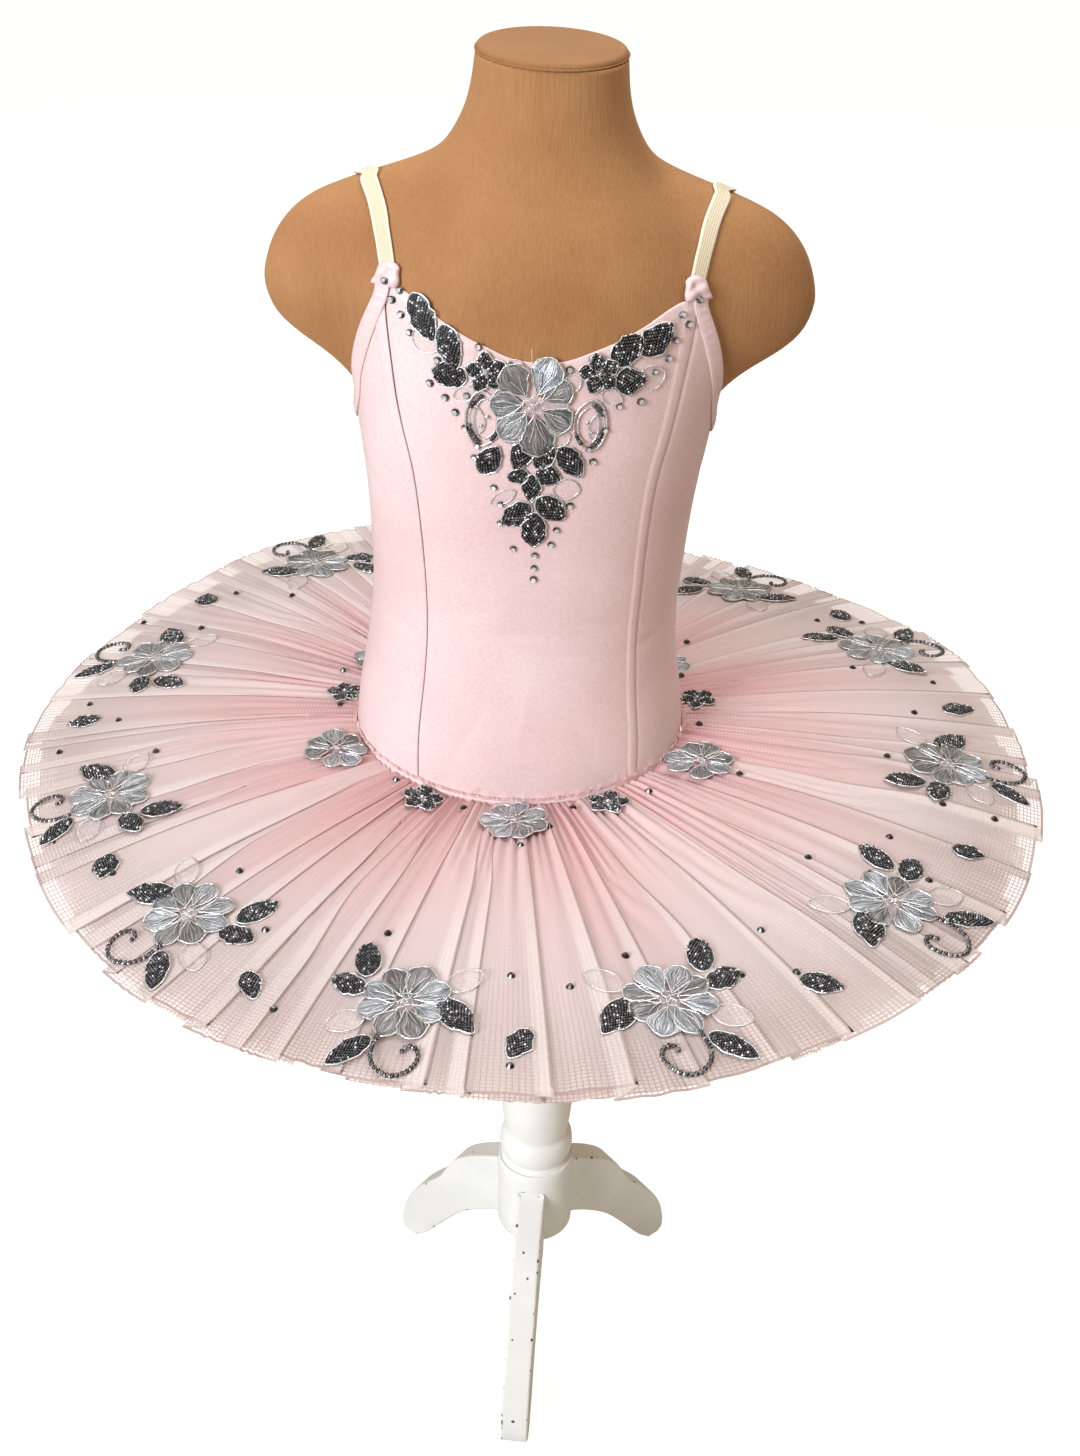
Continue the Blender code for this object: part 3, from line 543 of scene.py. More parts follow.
def add_cloth(name, mesh, material, slot, stands_for, wall, **cut):
    """A piece of cloth; its grid's UV map holds the flat cut that it was made from."""
    made = add_piece(name, mesh, [material], [stands_for], wall)
    return made


def faceted(piece):
    """Cut stones keep their flat facets."""
    piece.data.polygons.foreach_set("use_smooth", [False] * len(piece.data.polygons))
    return piece


def grid(columns, rows, place, cut, closed=False, flip=False, into=None, finish=0, tone=0.5):
    """A sheet laid out by place(u, v), u and v from 0 to 1. Its UV map holds the flat cut."""
    mesh = into or bmesh.new()
    uv = mesh.loops.layers.uv.get("cut") or mesh.loops.layers.uv.new("cut")
    shade = mesh.loops.layers.float.get("tone") or mesh.loops.layers.float.new("tone")
    made = bmesh.ops.create_grid(mesh, x_segments=columns, y_segments=rows, size=0.5)["verts"]
    faces = {face for vert in made for face in vert.link_faces}
    for face in faces:
        face.material_index = finish
        for loop in face.loops:
            u, v = loop.vert.co.x + 0.5, loop.vert.co.y + 0.5
            loop[uv].uv = (u * cut[0], v * cut[1])
            loop[shade] = tone(u, v) if callable(tone) else tone
    for vert in made:
        vert.co = place(vert.co.x + 0.5, vert.co.y + 0.5)
    if flip:
        bmesh.ops.reverse_faces(mesh, faces=list(faces))
    if closed:
        bmesh.ops.remove_doubles(mesh, verts=made, dist=MERGE)
    return mesh


def turned(profile, steps, centre=(0, 0)):
    """A profile of (radius, height) turned round an upright axis."""
    mesh = bmesh.new()
    spots = [mesh.verts.new((radius, 0, z)) for radius, z in profile]
    edges = [mesh.edges.new(pair) for pair in zip(spots, spots[1:])]
    bmesh.ops.spin(mesh, geom=spots + edges, cent=(0, 0, 0), axis=(0, 0, 1),
                   angle=2 * math.pi, steps=steps, use_merge=True)
    bmesh.ops.remove_doubles(mesh, verts=mesh.verts, dist=MERGE)
    bmesh.ops.recalc_face_normals(mesh, faces=mesh.faces)
    bmesh.ops.translate(mesh, verts=mesh.verts, vec=(*centre, 0))
    return mesh


def tube(mesh, path, radius, sides=5, finish=0, loop=False):
    """A cord along a path of points, as a rolled grid."""
    count = len(path)
    frames = []
    for n in range(count):
        ahead = path[(n + 1) % count] if loop or n < count - 1 else path[n]
        back = path[n - 1] if loop or n > 0 else path[n]
        run = (ahead - back).normalized()
        side = run.cross(Vector((0.13, 0.21, 1.0))).normalized()
        frames.append((path[n], side, run.cross(side)))
    steps = count if loop else count - 1

    def place(u, v):
        spot, side, rise = frames[round(v * steps) % count]
        turn = 2 * math.pi * u
        return spot + (side * math.cos(turn) + rise * math.sin(turn)) * radius

    grid(sides, steps, place, (2 * math.pi * radius, steps * radius * 2), closed=True,
         into=mesh, finish=finish)


def beads(mesh, spots, radius, finish, squash=1.0):
    """Small round beads of 20 facets each."""
    for spot in spots:
        made = bmesh.ops.create_icosphere(mesh, subdivisions=1, radius=radius)["verts"]
        for vert in made:
            vert.co = Vector((vert.co.x, vert.co.y, vert.co.z * squash)) + spot
        for face in {face for vert in made for face in vert.link_faces}:
            face.material_index = finish


def curve(table, column=1):
    """The smooth curve through one column of a table, sampled finely to be read quickly."""
    steps = 900
    first, last = table[0][0], table[-1][0]
    fine = [blend(table, first + (last - first) * n / steps, column) for n in range(steps + 1)]

    def read(at):
        place = min(max((at - first) / (last - first) * steps, 0.0), steps - 1e-6)
        n = int(place)
        return fine[n] + (fine[n + 1] - fine[n]) * (place - n)
    return read


def fine_noise(x, y, z=0.0):
    return noise.noise(Vector((x, y, z)))


# --------------------------------------------------------------------------------- dress form

def neck_tilt(point):
    """The neck's top slopes down towards the front."""
    slope = NECK_TILT * point.y
    return Vector((point.x, point.y, point.z + slope * ease((point.z - NECK_FOOT) / NECK_RISE)))


def dress_form():
    # Heights of the rings, and how far each is set in: the lower edge is rounded.
    rings = [(CORNER - BOTTOM_EDGE * math.sin(math.radians(turn)),
              BOTTOM_EDGE * (1 - math.cos(math.radians(turn)))) for turn in range(90, -1, -15)]
    heights = curve([(n, z) for n, z in enumerate(FORM_ROWS)])
    count = (len(FORM_ROWS) - 1) * 4
    rings += [(heights(n / 4), 0.0) for n in range(count + 1)]

    def skin(u, v):
        degrees = 360 * u + 14 * math.sin(math.radians(720 * u))    # closest at the sides
        z, inset = rings[round(v * (len(rings) - 1))]
        return in_place(neck_tilt(polar(degrees, body_radius(degrees, max(z, CORNER)) - inset, z)))

    mesh = grid(144, len(rings) - 1, skin, (0.62, 0.5), closed=True)
    bmesh.ops.holes_fill(mesh, edges=[edge for edge in mesh.edges if edge.is_boundary])
    bmesh.ops.recalc_face_normals(mesh, faces=mesh.faces)
    add_piece("dress_form_jersey", mesh, [JERSEY], ["form_torso"])

    top = BODY[-1][0] + EDGE_GAP
    profile = [(0.0, top), (CAP_RADIUS - 0.0010, top), (CAP_RADIUS, top + 0.0010)]
    for step in range(0, 91, 15):
        turn = math.radians(step)
        profile.append((CAP_RADIUS - CAP_ROUNDING + CAP_ROUNDING * math.cos(turn),
                        top + 0.0012 + CAP_ROUNDING * math.sin(turn)))
    profile += [(CAP_RADIUS * share, top + 0.0038 + 0.0005 * (1 - share))
                for share in (0.85, 0.5, 0.0)]
    mesh = turned(profile, 96)
    # The jersey of the cap is gathered over its rim by an overcast seam.
    path = [polar(2 * n, CAP_RADIUS + 0.0004 + 0.0003 * math.sin(n * 2.1), top + 0.0006)
            for n in range(180)]
    tube(mesh, path, 0.0006, loop=True)
    for vert in mesh.verts:
        vert.co = in_place(neck_tilt(vert.co))
    add_piece("neck_cap_jersey", mesh, [CAP_JERSEY], ["form_neck_cap"])


# ------------------------------------------------------------------------------------- bodice

def armhole_band():
    """The armhole's edge and the same curve set in by the binding's width."""
    middle = 0.11
    table = [(n, *spot) for n, spot in enumerate(ARMHOLE)]
    samples = []
    for n in range(41):
        at = n / 40 * (len(ARMHOLE) - 1)
        here, ahead, back = [Vector((blend(table, at + step, 1), blend(table, at + step, 2)))
                             for step in (0, 0.05, -0.05)]
        run = ahead - back
        run = Vector((math.radians(run.x) * middle, run.y)).normalized()
        inward = Vector((run.y, -run.x)) * BINDING_WIDTH
        samples.append((here, here + Vector((math.degrees(inward.x / middle), inward.y))))
    return samples


BAND = armhole_band()
PANEL_EDGE = [outer.lerp(inner, 0.5) for outer, inner in BAND]
FRONT_EDGE = sorted((spot.y, spot.x) for spot in PANEL_EDGE if spot.x <= SIDE_SEAM)
BACK_EDGE = sorted((spot.x, spot.y) for spot in PANEL_EDGE if spot.x >= SIDE_SEAM)

neckline = curve(NECKLINE)
front_edge = curve(FRONT_EDGE)
back_edge = curve(BACK_EDGE)
back_scoop = curve(BACK_TOP)
hem_height = curve(HEM_HEIGHTS)

CREASES = (     # degrees, height, slope in degrees, half length mm, half width mm, depth mm
    (-6, 0.742, 4, 34, 5.0, -0.55), (16, 0.728, -7, 28, 4.0, -0.45),
    (-30, 0.755, 12, 22, 4.5, -0.50), (36, 0.748, -14, 24, 4.0, -0.45),
    (2, 0.690, 80, 30, 6.0, 0.40), (-24, 0.665, 64, 24, 4.5, -0.45),
    (27, 0.668, -60, 26, 4.5, -0.45), (-58, 0.735, -10, 20, 4.0, -0.60),
    (60, 0.730, 12, 22, 4.0, -0.55), (-72, 0.830, -38, 26, 4.5, -0.55),
    (73, 0.826, 36, 24, 4.5, -0.50), (120, 0.742, 8, 30, 5.0, -0.60),
    (-128, 0.750, -9, 28, 4.5, -0.55), (168, 0.735, 5, 36, 5.0, -0.60),
    (-160, 0.700, -50, 24, 5.0, -0.45), (150, 0.690, 52, 26, 4.5, -0.45),
    (104, 0.840, 34, 24, 4.0, -0.50), (-106, 0.846, -30, 22, 4.0, -0.50))


def relief(degrees, z):
    """How far creases move the stretch cloth out or in. Never under its seat on the form."""
    total = 0.00018 * fine_noise(degrees * 0.08, z * 26)
    for at, height, slope, half_length, half_width, depth in CREASES:
        x = math.radians(wrapped(degrees - at)) * 0.098
        y = z - height
        turn = math.radians(slope)
        along = (x * math.cos(turn) + y * math.sin(turn)) / (half_length * MM)
        across = (y * math.cos(turn) - x * math.sin(turn)) / (half_width * MM)
        if abs(along) < 2.5 and abs(across) < 2.5:
            total += depth * MM * hill(along) * hill(across)
    return max(total, -0.0006)


def pucker(degrees, z):
    """Small gathers just above the hip seam, uneven in height."""
    rise = z - seam_height(degrees)
    height = 0.009 * (1 + 0.6 * fine_noise(degrees * 0.11, 3.0))
    share = ease(1 - rise / height)
    wave = math.sin(math.radians(degrees * 46) + 3 * fine_noise(degrees * 0.35, 9.0))
    return 0.00038 * share * wave


def seam_roll(distance):
    """The cloth turns in at a seam over its last two millimetres."""
    return -0.00055 * hill(distance / 0.0016)


def cloth_point(degrees, z, off):
    return in_place(body_point(degrees, z, off + relief(degrees, z) + pucker(degrees, z)))


def turned_top(depth):
    """The ridge that the hem of a top edge makes on the cloth's face."""
    return HEM_STITCH_LIFT * hill((depth - HEM_STITCH_DEPTH) / 0.0011)


def turnings(distance):
    """The cloth lies higher where a seam's turnings are under it."""
    return TURNING_LIFT * ease((TURNING_WIDTH - distance) / 0.0012)


def even_ends(t, share=0.55):
    """Spreads grid lines more closely at both ends of a panel."""
    return t + ((0.5 - 0.5 * math.cos(math.pi * t)) - t) * share


def bodice():
    half_gap = math.degrees(EDGE_GAP / SEAM_REACH)
    worn = {"held": "stretched", "rests_on": ["dress_form_jersey"]}

    def front(u, v):
        side = 2 * even_ends(u) - 1
        degrees = side * 50
        for _ in range(5):
            low, high = seam_height(degrees), neckline(abs(degrees))
            z = low + even_ends(v, 0.35) * (high - low)
            degrees = side * (princess(z) - half_gap) + twist(z)
        edge = (1 - abs(side)) * 0.095
        off = CLOTH_MID + seam_roll(edge) + seam_roll(high - z) * 0.8
        if side > 0:
            off += turnings(edge)
        off += turned_top(high - z) * ease((z - 0.8) / 0.05)
        return cloth_point(degrees, z, off)

    add_cloth("bodice_front_satin", grid(120, 150, front, (0.20, 0.31)), SATIN, "satin_lycra",
              "bodice_front", CLOTH, flat=(0.22, 0.32), area=0.058, **worn)

    for name, sign in SIDES:
        def side_front(u, v, sign=sign):
            degrees = 70
            for _ in range(5):
                low = seam_height(degrees)
                z = low + even_ends(v, 0.25) * (TAB[2] - EDGE_GAP - low)
                first = princess(z) + sign * twist(z) + half_gap
                limit = SIDE_SEAM - math.degrees(EDGE_GAP / 0.22)
                last = limit if z <= FRONT_EDGE[0][0] else min(limit, front_edge(z))
                degrees = first + even_ends(u) * (last - first)
            inner, outer = [abs(degrees - at) * math.radians(1) * BODY_REACH
                            for at in (first, last)]
            off = CLOTH_MID + ARM_LIFT * ease((z - 0.86) / 0.04) + seam_roll(inner)
            if z < FRONT_EDGE[0][0]:
                off += seam_roll(outer)
            if sign < 0:
                off += turnings(inner)
            return cloth_point(sign * degrees, z, off)

        add_cloth(f"bodice_side_{name}_satin",
                  grid(46, 170, side_front, (0.07, 0.33), flip=sign < 0), SATIN, "satin_lycra",
                  "bodice_side_" + name, CLOTH, flat=(0.075, 0.34), area=0.0205, **worn)

    def back(u, v):
        first = SIDE_SEAM + half_gap
        degrees = first + even_ends(u, 0.3) * (360 - 2 * first)
        from_front = 180 - abs(180 - degrees)
        high = back_edge(from_front)
        if from_front > BACK_EDGE[-1][0]:
            high = back_scoop(from_front)
        else:
            high = min(high, back_scoop(max(from_front, BACK_TOP[0][0])))
        low = seam_height(degrees)
        z = low + even_ends(v, 0.35) * (high - low)
        off = CLOTH_MID + seam_roll((from_front - first) * math.radians(1) * BODY_REACH)
        if from_front > BACK_EDGE[-1][0]:
            off += seam_roll(high - z) * 0.8
            off += turned_top(high - z)
        return cloth_point(degrees, z, off)

    add_cloth("bodice_back_satin", grid(170, 110, back, (0.32, 0.27)), SATIN, "satin_lycra",
              "bodice_back", CLOTH, flat=(0.35, 0.29), area=0.075, **worn)


def bindings():
    outer_line, inner_line = [[curve([(n, pair[edge][axis]) for n, pair in enumerate(BAND)])
                               for axis in (0, 1)] for edge in (0, 1)]
    for name, sign in SIDES:
        def binding(u, v, sign=sign):
            at = u * (len(BAND) - 1)
            degrees, z = [inner(at) + (outer(at) - inner(at)) * v
                          for inner, outer in zip(inner_line, outer_line)]
            edge = min(v, 1 - v) * BINDING_WIDTH
            wave = math.sin(u * 210 + 4 * fine_noise(u * 18, 2.0))
            ripple = 0.00018 * wave * math.sin(math.pi * v)
            off = CLOTH_MID + CAD_CLOTH + ARM_LIFT + EDGE_GAP
            off = off - 0.0007 * hill(edge / 0.0014) + ripple
            return in_place(body_point(sign * degrees, z, off))

        add_cloth(f"armhole_binding_{name}_satin",
                  grid(130, 10, binding, (0.155, BINDING_WIDTH), flip=sign > 0), SATIN,
                  "satin_lycra", "armhole_binding_" + name, CLOTH, flat=(0.16, 0.010),
                  held="folded", rests_on=[f"bodice_side_{name}_satin", "bodice_back_satin"])


def straps():
    table = [(n, degrees, z) for n, (degrees, z) in enumerate((STRAP_TUCK, *STRAP[1:]))]
    around, upward = curve(table, 1), curve(table, 2)
    for name, sign in SIDES:
        def strap(u, v, sign=sign):
            at = u * (len(STRAP) - 1)
            off = GAP + 0.0003 + 0.0005
            spots = [body_point(sign * around(at + step), upward(at + step), off)
                     for step in (-0.03, 0, 0.03)]
            under = body_point(sign * around(at), upward(at), 0.0)
            across = (spots[2] - spots[0]).cross(spots[1] - under).normalized()
            width = STRAP_WIDTH * (1 + 0.015 * math.sin(u * 40))
            return in_place(spots[1] + across * (v - 0.5) * width)

        add_cloth(f"strap_{name}_elastic",
                  grid(110, 8, strap, (0.185, STRAP_WIDTH), flip=sign > 0), ELASTIC_BRAID,
                  "elastic", "strap_" + name, ELASTIC, flat=(0.185, STRAP_WIDTH),
                  held="stretched", rests_on=["dress_form_jersey"])

        def tab(u, v, sign=sign):
            first, last, low, high = TAB
            side = 2 * u - 1
            spread = 1 - 0.24 * v * v + 0.07 * math.sin(6 * v + 2 * u)
            rise = (high + 0.0032 - low) * v * (1 - 0.20 * side * side) - 0.0012 * (1 - v)
            bulge = (1 - side ** 4) * (1 - (2 * v - 1) ** 4)
            folds = 0.0009 * math.sin(8.0 * u + 3.0 * v) + 0.0006 * math.sin(11 * v - 5 * u)
            off = GAP + 0.0010 + 0.0024 * bulge ** 0.5 + folds * bulge
            degrees = (first + last) / 2 + (last - first) / 2 * side * spread
            return in_place(body_point(sign * degrees, low + rise, off))

        add_cloth(f"strap_tab_{name}_satin", grid(22, 20, tab, (0.016, 0.017), flip=sign < 0),
                  SATIN, "satin_lycra", "strap_tab_" + name, TAB_WALL, flat=(0.022, 0.012),
                  held="folded", rests_on=[f"bodice_side_{name}_satin", f"strap_{name}_elastic"])


def underside_point(degrees, along, off):
    """Down the form's side from the hip, round the bottom edge and in under the base."""
    drop = HIP - CORNER
    bend = BOTTOM_EDGE * math.pi / 2
    if along < drop:
        return body_point(degrees, HIP - along, off)
    radius = body_radius(degrees, CORNER) - BOTTOM_EDGE
    if along < drop + bend:
        turn = (along - drop) / BOTTOM_EDGE
        reach = BOTTOM_EDGE + off
        return polar(degrees, radius + reach * math.cos(turn), CORNER - reach * math.sin(turn))
    return polar(degrees, radius - (along - drop - bend), BOTTOM - off)


def brief():
    worn = {"held": "stretched", "rests_on": ["dress_form_jersey"]}
    shortest, longest = 0.019, HIP - CORNER - 0.0020
    tongue_start = longest + 0.0006
    tongue_length = HIP - CORNER + BOTTOM_EDGE * math.pi / 2 + 0.032 - longest - 0.0006

    def body(u, v):
        degrees = 360 * u
        start = HIP - seam_height(degrees) + EDGE_GAP
        length = shortest + (longest - shortest) * abs(math.cos(math.radians(degrees))) ** 4
        ripple = 0.00015 * math.sin(math.radians(degrees * 40)) * ease((v - 0.6) / 0.4)
        return in_place(underside_point(degrees, start + v * (length - start), CLOTH_MID + ripple))

    add_cloth("brief_satin", grid(180, 10, body, (0.66, 0.03), closed=True, flip=True), SATIN,
              "satin_lycra", "brief", CLOTH, flat=(0.66, 0.026), area=0.0170, **worn)
    for name, centre in (("front", 0), ("back", 180)):
        def tongue(u, v, centre=centre):
            along = tongue_start + v * tongue_length
            half_angle = 17 - 4 * ease(v * 1.4)
            return in_place(underside_point(centre + half_angle * (2 * u - 1), along, CLOTH_MID))

        # Each tongue is cut tapering from 53 mm to about 25 mm wide.
        add_cloth(f"brief_gusset_{name}_satin", grid(16, 30, tongue, (0.045, 0.052), flip=True),
                  SATIN, "satin_lycra", "brief_gusset_" + name, CLOTH, flat=(0.053, 0.052),
                  area=0.0021, **worn)


# -------------------------------------------------------------------------------------- skirt

def skirt_inner(degrees, layer):
    """Radius and height at which a ring is sewn to the brief."""
    z = seam_height(degrees) - LAYER_PITCH * (layer + 1)
    return body_radius(degrees, z) + GAP + CAD_CLOTH + 0.0009, z


def skirt_surface(degrees, out, layer, lift=0.0):
    """Mid-wall of a ring: out is 0 at the seam and 1 at the hem."""
    inner, start = skirt_inner(degrees, layer)
    wave = math.sin(math.radians(5 * degrees + 40))
    waviness = 0.004 * wave * math.cos(math.radians(2 * degrees))
    outer = HEM_RADIUS + waviness - LAYER_STEP * layer
    end = hem_height(wrapped(degrees)) - LAYER_DROP * layer
    z = start + (end - start) * out + SKIRT_HUMP * math.sin(math.pi * min(out, 1.0))
    return polar(degrees, inner + (outer - inner) * out, z + lift) + Vector((HEM_SHIFT * out, 0, 0))


def undulation(degrees, out):
    """Slow swells of the whole skirt, the same in every ring so that none cuts the next."""
    turn = math.radians(degrees)
    slow = fine_noise(2.2 * math.sin(turn), 2.2 * math.cos(turn), 1.5)
    quick = fine_noise(6.0 * math.sin(turn), 6.0 * math.cos(turn), 4.5)
    return (0.0040 * slow + 0.0022 * quick) * ease(out * 1.15)


FOLD_SHARE = 0.74       # of a pleat's columns lie on its upper flap, the rest in the fold


class Pleats:
    """Uneven knife pleats of one ring. Each flap ends in a fold that turns back beneath it."""

    def __init__(self, count, seed, depth, overlap):
        chance = random.Random(seed)
        widths = [chance.choice((0.55, 0.75, 0.95, 1.15, 1.5)) * chance.uniform(0.9, 1.1)
                  for _ in range(count)]
        self.starts = [360 * sum(widths[:n]) / sum(widths) for n in range(count)]
        self.spans = [360 * width / sum(widths) for width in widths]
        self.overlap = [overlap * chance.uniform(0.55, 1.25) for _ in range(count)]
        self.depth = [depth * chance.choice((0.45, 0.7, 1.0, 1.5)) for _ in range(count)]
        self.begin = [chance.choice((-0.3, -0.3, -0.2, 0.05, 0.25, 0.4)) for _ in range(count)]
        self.wander = [chance.uniform(-1, 1) for _ in range(count + 1)]
        self.wander[count] = self.wander[0]
        self.hem = [chance.uniform(-0.0040, 0.0040) for _ in range(count)]
        self.crimp = [chance.uniform(0, 6.28) for _ in range(count)]
        self.pale = [chance.choice((0.0, 0.0, 0.10, 0.22, 0.38, 0.55)) for _ in range(count)]
        self.count = count

    def place(self, n, t, out):
        """Degrees, lift and the hem's step at share t of pleat n, measured along the cloth."""
        grown = ease((out - self.begin[n]) / 0.35)
        last = self.spans[n]
        over = self.overlap[n] * grown
        after = (n + 1) % self.count
        crest = self.depth[n] * (0.35 + 0.65 * grown)
        foot, next_foot = -0.42 * self.depth[n], -0.42 * self.depth[after]
        step = self.hem[n]
        if t < FOLD_SHARE:
            share = t / FOLD_SHARE
            across = (last + over) * share
            lift = foot + crest * share ** 1.6
            crimp = math.sin(9 * across + self.crimp[n])
            lift += 0.0010 * crimp * ease(out * 2) * hill(2 - 4 * share)
        else:
            share = (t - FOLD_SHARE) / (1 - FOLD_SHARE)
            across = last + over * (0.5 + 0.5 * math.cos(math.pi * share))
            lift = next_foot + (foot + crest - next_foot) * (1 - share)
            step += (self.hem[after] - step) * ease(share * 1.2)
        drift = self.wander[n] + (self.wander[n + 1] - self.wander[n]) * min(across / last, 1)
        sway = drift * (0.45 * math.sin(2.6 * out + 0.8) + 0.22 * math.sin(6.5 * out + 2)) * out
        return self.starts[n] + across + sway, lift, step * ease((out - 0.55) / 0.45)


def gathers(degrees, out):
    """Fine gathers that leave the seam and fade out on the net, nested from ring to ring."""
    reach = 0.50 + 0.40 * fine_noise(degrees * 0.11, 7.0)
    share = (1 - ease(out / max(reach, 0.10))) * ease((out + 0.03) / 0.05)
    wave = math.sin(math.radians(degrees * 126) + 6 * fine_noise(degrees * 0.23, 2.0))
    return 0.0021 * share * wave


RINGS = (       # pleats, columns to a pleat, rows, depth of a pleat, overlap in degrees, seed
    (66, 20, 36, 0.0011, 1.95, 11), (58, 16, 20, 0.0013, 1.5, 23),
    (54, 16, 18, 0.0014, 1.4, 37), (50, 16, 16, 0.0013, 1.3, 41))
FLAT_HEM = (3.55, 3.00, 2.88, 2.72)     # width that each ring was cut to


def ring_point(pleats, layer, u, v):
    at = u * pleats.count
    number = min(int(at + 1e-6), pleats.count - 1)
    degrees, lift, step = pleats.place(number, max(at - number, 0.0), v)
    calm = lace_calm(degrees, v) if layer == 0 else 1.0
    lift = lift * calm + undulation(degrees, v) + gathers(degrees, v)
    return in_place(skirt_surface(degrees, v + step / 0.24, layer, lift))


def fold_tone(pleats, u, v):
    """Flaps differ in how pale they read, and cloth lying double is the palest. A painted highlight
    lightens the cloth along each fold's edge.
    """
    at = u * pleats.count
    number = min(int(at), pleats.count - 1)
    share = at - number
    single = pleats.spans[number] / (pleats.spans[number] + pleats.overlap[number])
    double = ease((share / FOLD_SHARE - single) / 0.05) * ease((v - 0.25) / 0.5)
    # The painted highlight along the fold's edge.
    edge = hill((share - FOLD_SHARE) / 0.03)
    return min(pleats.pale[number] + 0.50 * double + 0.55 * edge, 1.0)


def lace_calm(degrees, out):
    """The net is held flatter where lace is sewn on it."""
    least = 1.0
    for at in SPRAY_ANGLES:
        x = math.radians(wrapped(degrees - at)) * SPRAY_RADIUS
        y = out * (HEM_RADIUS - SKIRT_SEAM_RADIUS) + SKIRT_SEAM_RADIUS - SPRAY_RADIUS
        least = min(least, 1 - 0.72 * hill(math.hypot(x, y) / 0.033))
    return least


def skirt():
    rings = []
    for layer, (count, columns, rows, depth, overlap, seed) in enumerate(RINGS):
        pleats = Pleats(count, seed, depth, overlap)
        mesh = grid(count * columns, rows, lambda u, v: ring_point(pleats, layer, u, v),
                    (FLAT_HEM[layer], NET_LENGTH - LAYER_STEP * layer), closed=True, flip=True,
                    tone=lambda u, v: fold_tone(pleats, u, v))
        rings.append(add_piece(f"net_ring_{layer + 1}", mesh,
                               [NET_TOP if layer == 0 else NET_UNDER],
                               [f"skirt_ring_{layer + 1}"]))

    def heading(u, v):
        degrees = 360 * u
        ruffle = 0.0011 * math.sin(math.radians(degrees * 92) + 7 * fine_noise(degrees * 0.24, 5.0))
        height = 0.0030 + 0.0007 * fine_noise(degrees * 0.3, 8.0)
        off = GAP + CAD_CLOTH + 0.0012 + ruffle * v + 0.0010 * v * v
        return in_place(body_point(degrees, seam_height(degrees) + 0.0002 + height * v, off))

    add_cloth("hip_heading_net", grid(1100, 4, heading, (0.84, 0.004), closed=True), NET_HEADING,
              "net", "hip_heading", 0.0, flat=(0.84, 0.010), area=0.0030, held="gathered",
              rests_on=["bodice_front_satin"])
    return rings


# --------------------------------------------------------------------------------------- lace

# Where the motifs lie on the skirt, in degrees and metres, and which sprays are mirrored.
SPRAY_ANGLES = (-71, -44.5, -14, 15.5, 49, 81.5, 114.5, 143.5, 178, -143, -107)
MIRRORED = (True, True, False, True, True, False, True, True, True, False, True)
LEAF_ANGLES = (-58.5, -31, -1, 32, 64, 96.5, 127, 160, -160, -124, -90.5)
BIG_FLOWER_ANGLES = (-69, -1.5, 65.5, 128, 180, -128)
SMALL_FLOWER_ANGLES = (-34, 31, 100, 154, -154, -101)
SPRAY_RADIUS = 0.298
LEAF_RADIUS = 0.318
STITCH, CORD, GROUND, BLACK, SILVER, CLEAR = range(6)       # the places of LACE's materials


def flat_spot(x, y, turn, along, across, height):
    """From a motif's own directions to the flat drawing, in millimetres."""
    return Vector((x + along * math.cos(turn) - across * math.sin(turn),
                   y + along * math.sin(turn) + across * math.cos(turn), height))


def petal(mesh, x, y, turn, foot, length, width, finish, tone=0.5, belly=1.35, blunt=0.5,
          base=0.3, dome=0.9, tilt=0.0, cord=0.42, ragged=0.0):
    """A domed petal or leaf with a cord couched round it. Returns its half width by length."""
    def half(t):
        wave = 1 + ragged * fine_noise(6.5 * t, x + 3 * turn, y)
        return wave * width / 2 * math.sin(math.pi * min(max(t, 0.0), 1.0) ** belly) ** blunt

    def height(t, side):
        return base + dome * math.sin(math.pi * t * 0.85) * (1 - 0.55 * side * side) + tilt * side

    def place(u, v):
        t = 0.5 - 0.5 * math.cos(math.pi * v)
        side = 1 - 2 * u
        return flat_spot(x, y, turn, foot + length * t, side * half(t), height(t, side))

    grid(8, 9, place, (1.0, 1.0), closed=True, into=mesh, finish=finish, tone=tone)
    rim = [place(0, n / 14) for n in range(15)] + [place(1, n / 14) for n in range(13, 0, -1)]
    tube(mesh, [spot + Vector((0, 0, 0.15)) for spot in rim], cord, finish=CORD, loop=True)
    return half, height


def dark_leaf(mesh, x, y, turn, length, width, chance, base=0.3):
    """A pointed leaf filled with rows of black seed beads, its foot at x, y."""
    half, height = petal(mesh, x, y, turn, 0.0, length, width, GROUND, belly=0.85, blunt=0.72,
                         base=base, dome=0.8, cord=0.5, ragged=0.32)
    pitch = 1.75
    spots, bright = [], []
    row = 0
    along = 1.6
    while along < length - 1.2:
        reach = half(along / length) - 1.15
        across = -math.floor(max(reach, 0) / pitch) * pitch - (row % 2) * pitch / 2
        while across <= reach:
            if across >= -reach:
                spot = flat_spot(x, y, turn, along + 0.35 * abs(across), across,
                                 height(along / length, across / width * 2) + 0.45)
                # About one bead in nine is silver-lined: partly real silver beads, partly painted
                # glints standing in for light caught on the black beads.
                (bright if chance.random() < 0.11 else spots).append(spot)
            across += pitch
        along += pitch * 0.88
        row += 1
    beads(mesh, spots, 0.86, BLACK)
    beads(mesh, bright, 0.86, SILVER)


def clear_leaf(mesh, x, y, turn, length, width):
    petal(mesh, x, y, turn, 0.0, length, width, CLEAR, belly=0.95, blunt=0.62, dome=0.5, cord=0.38)


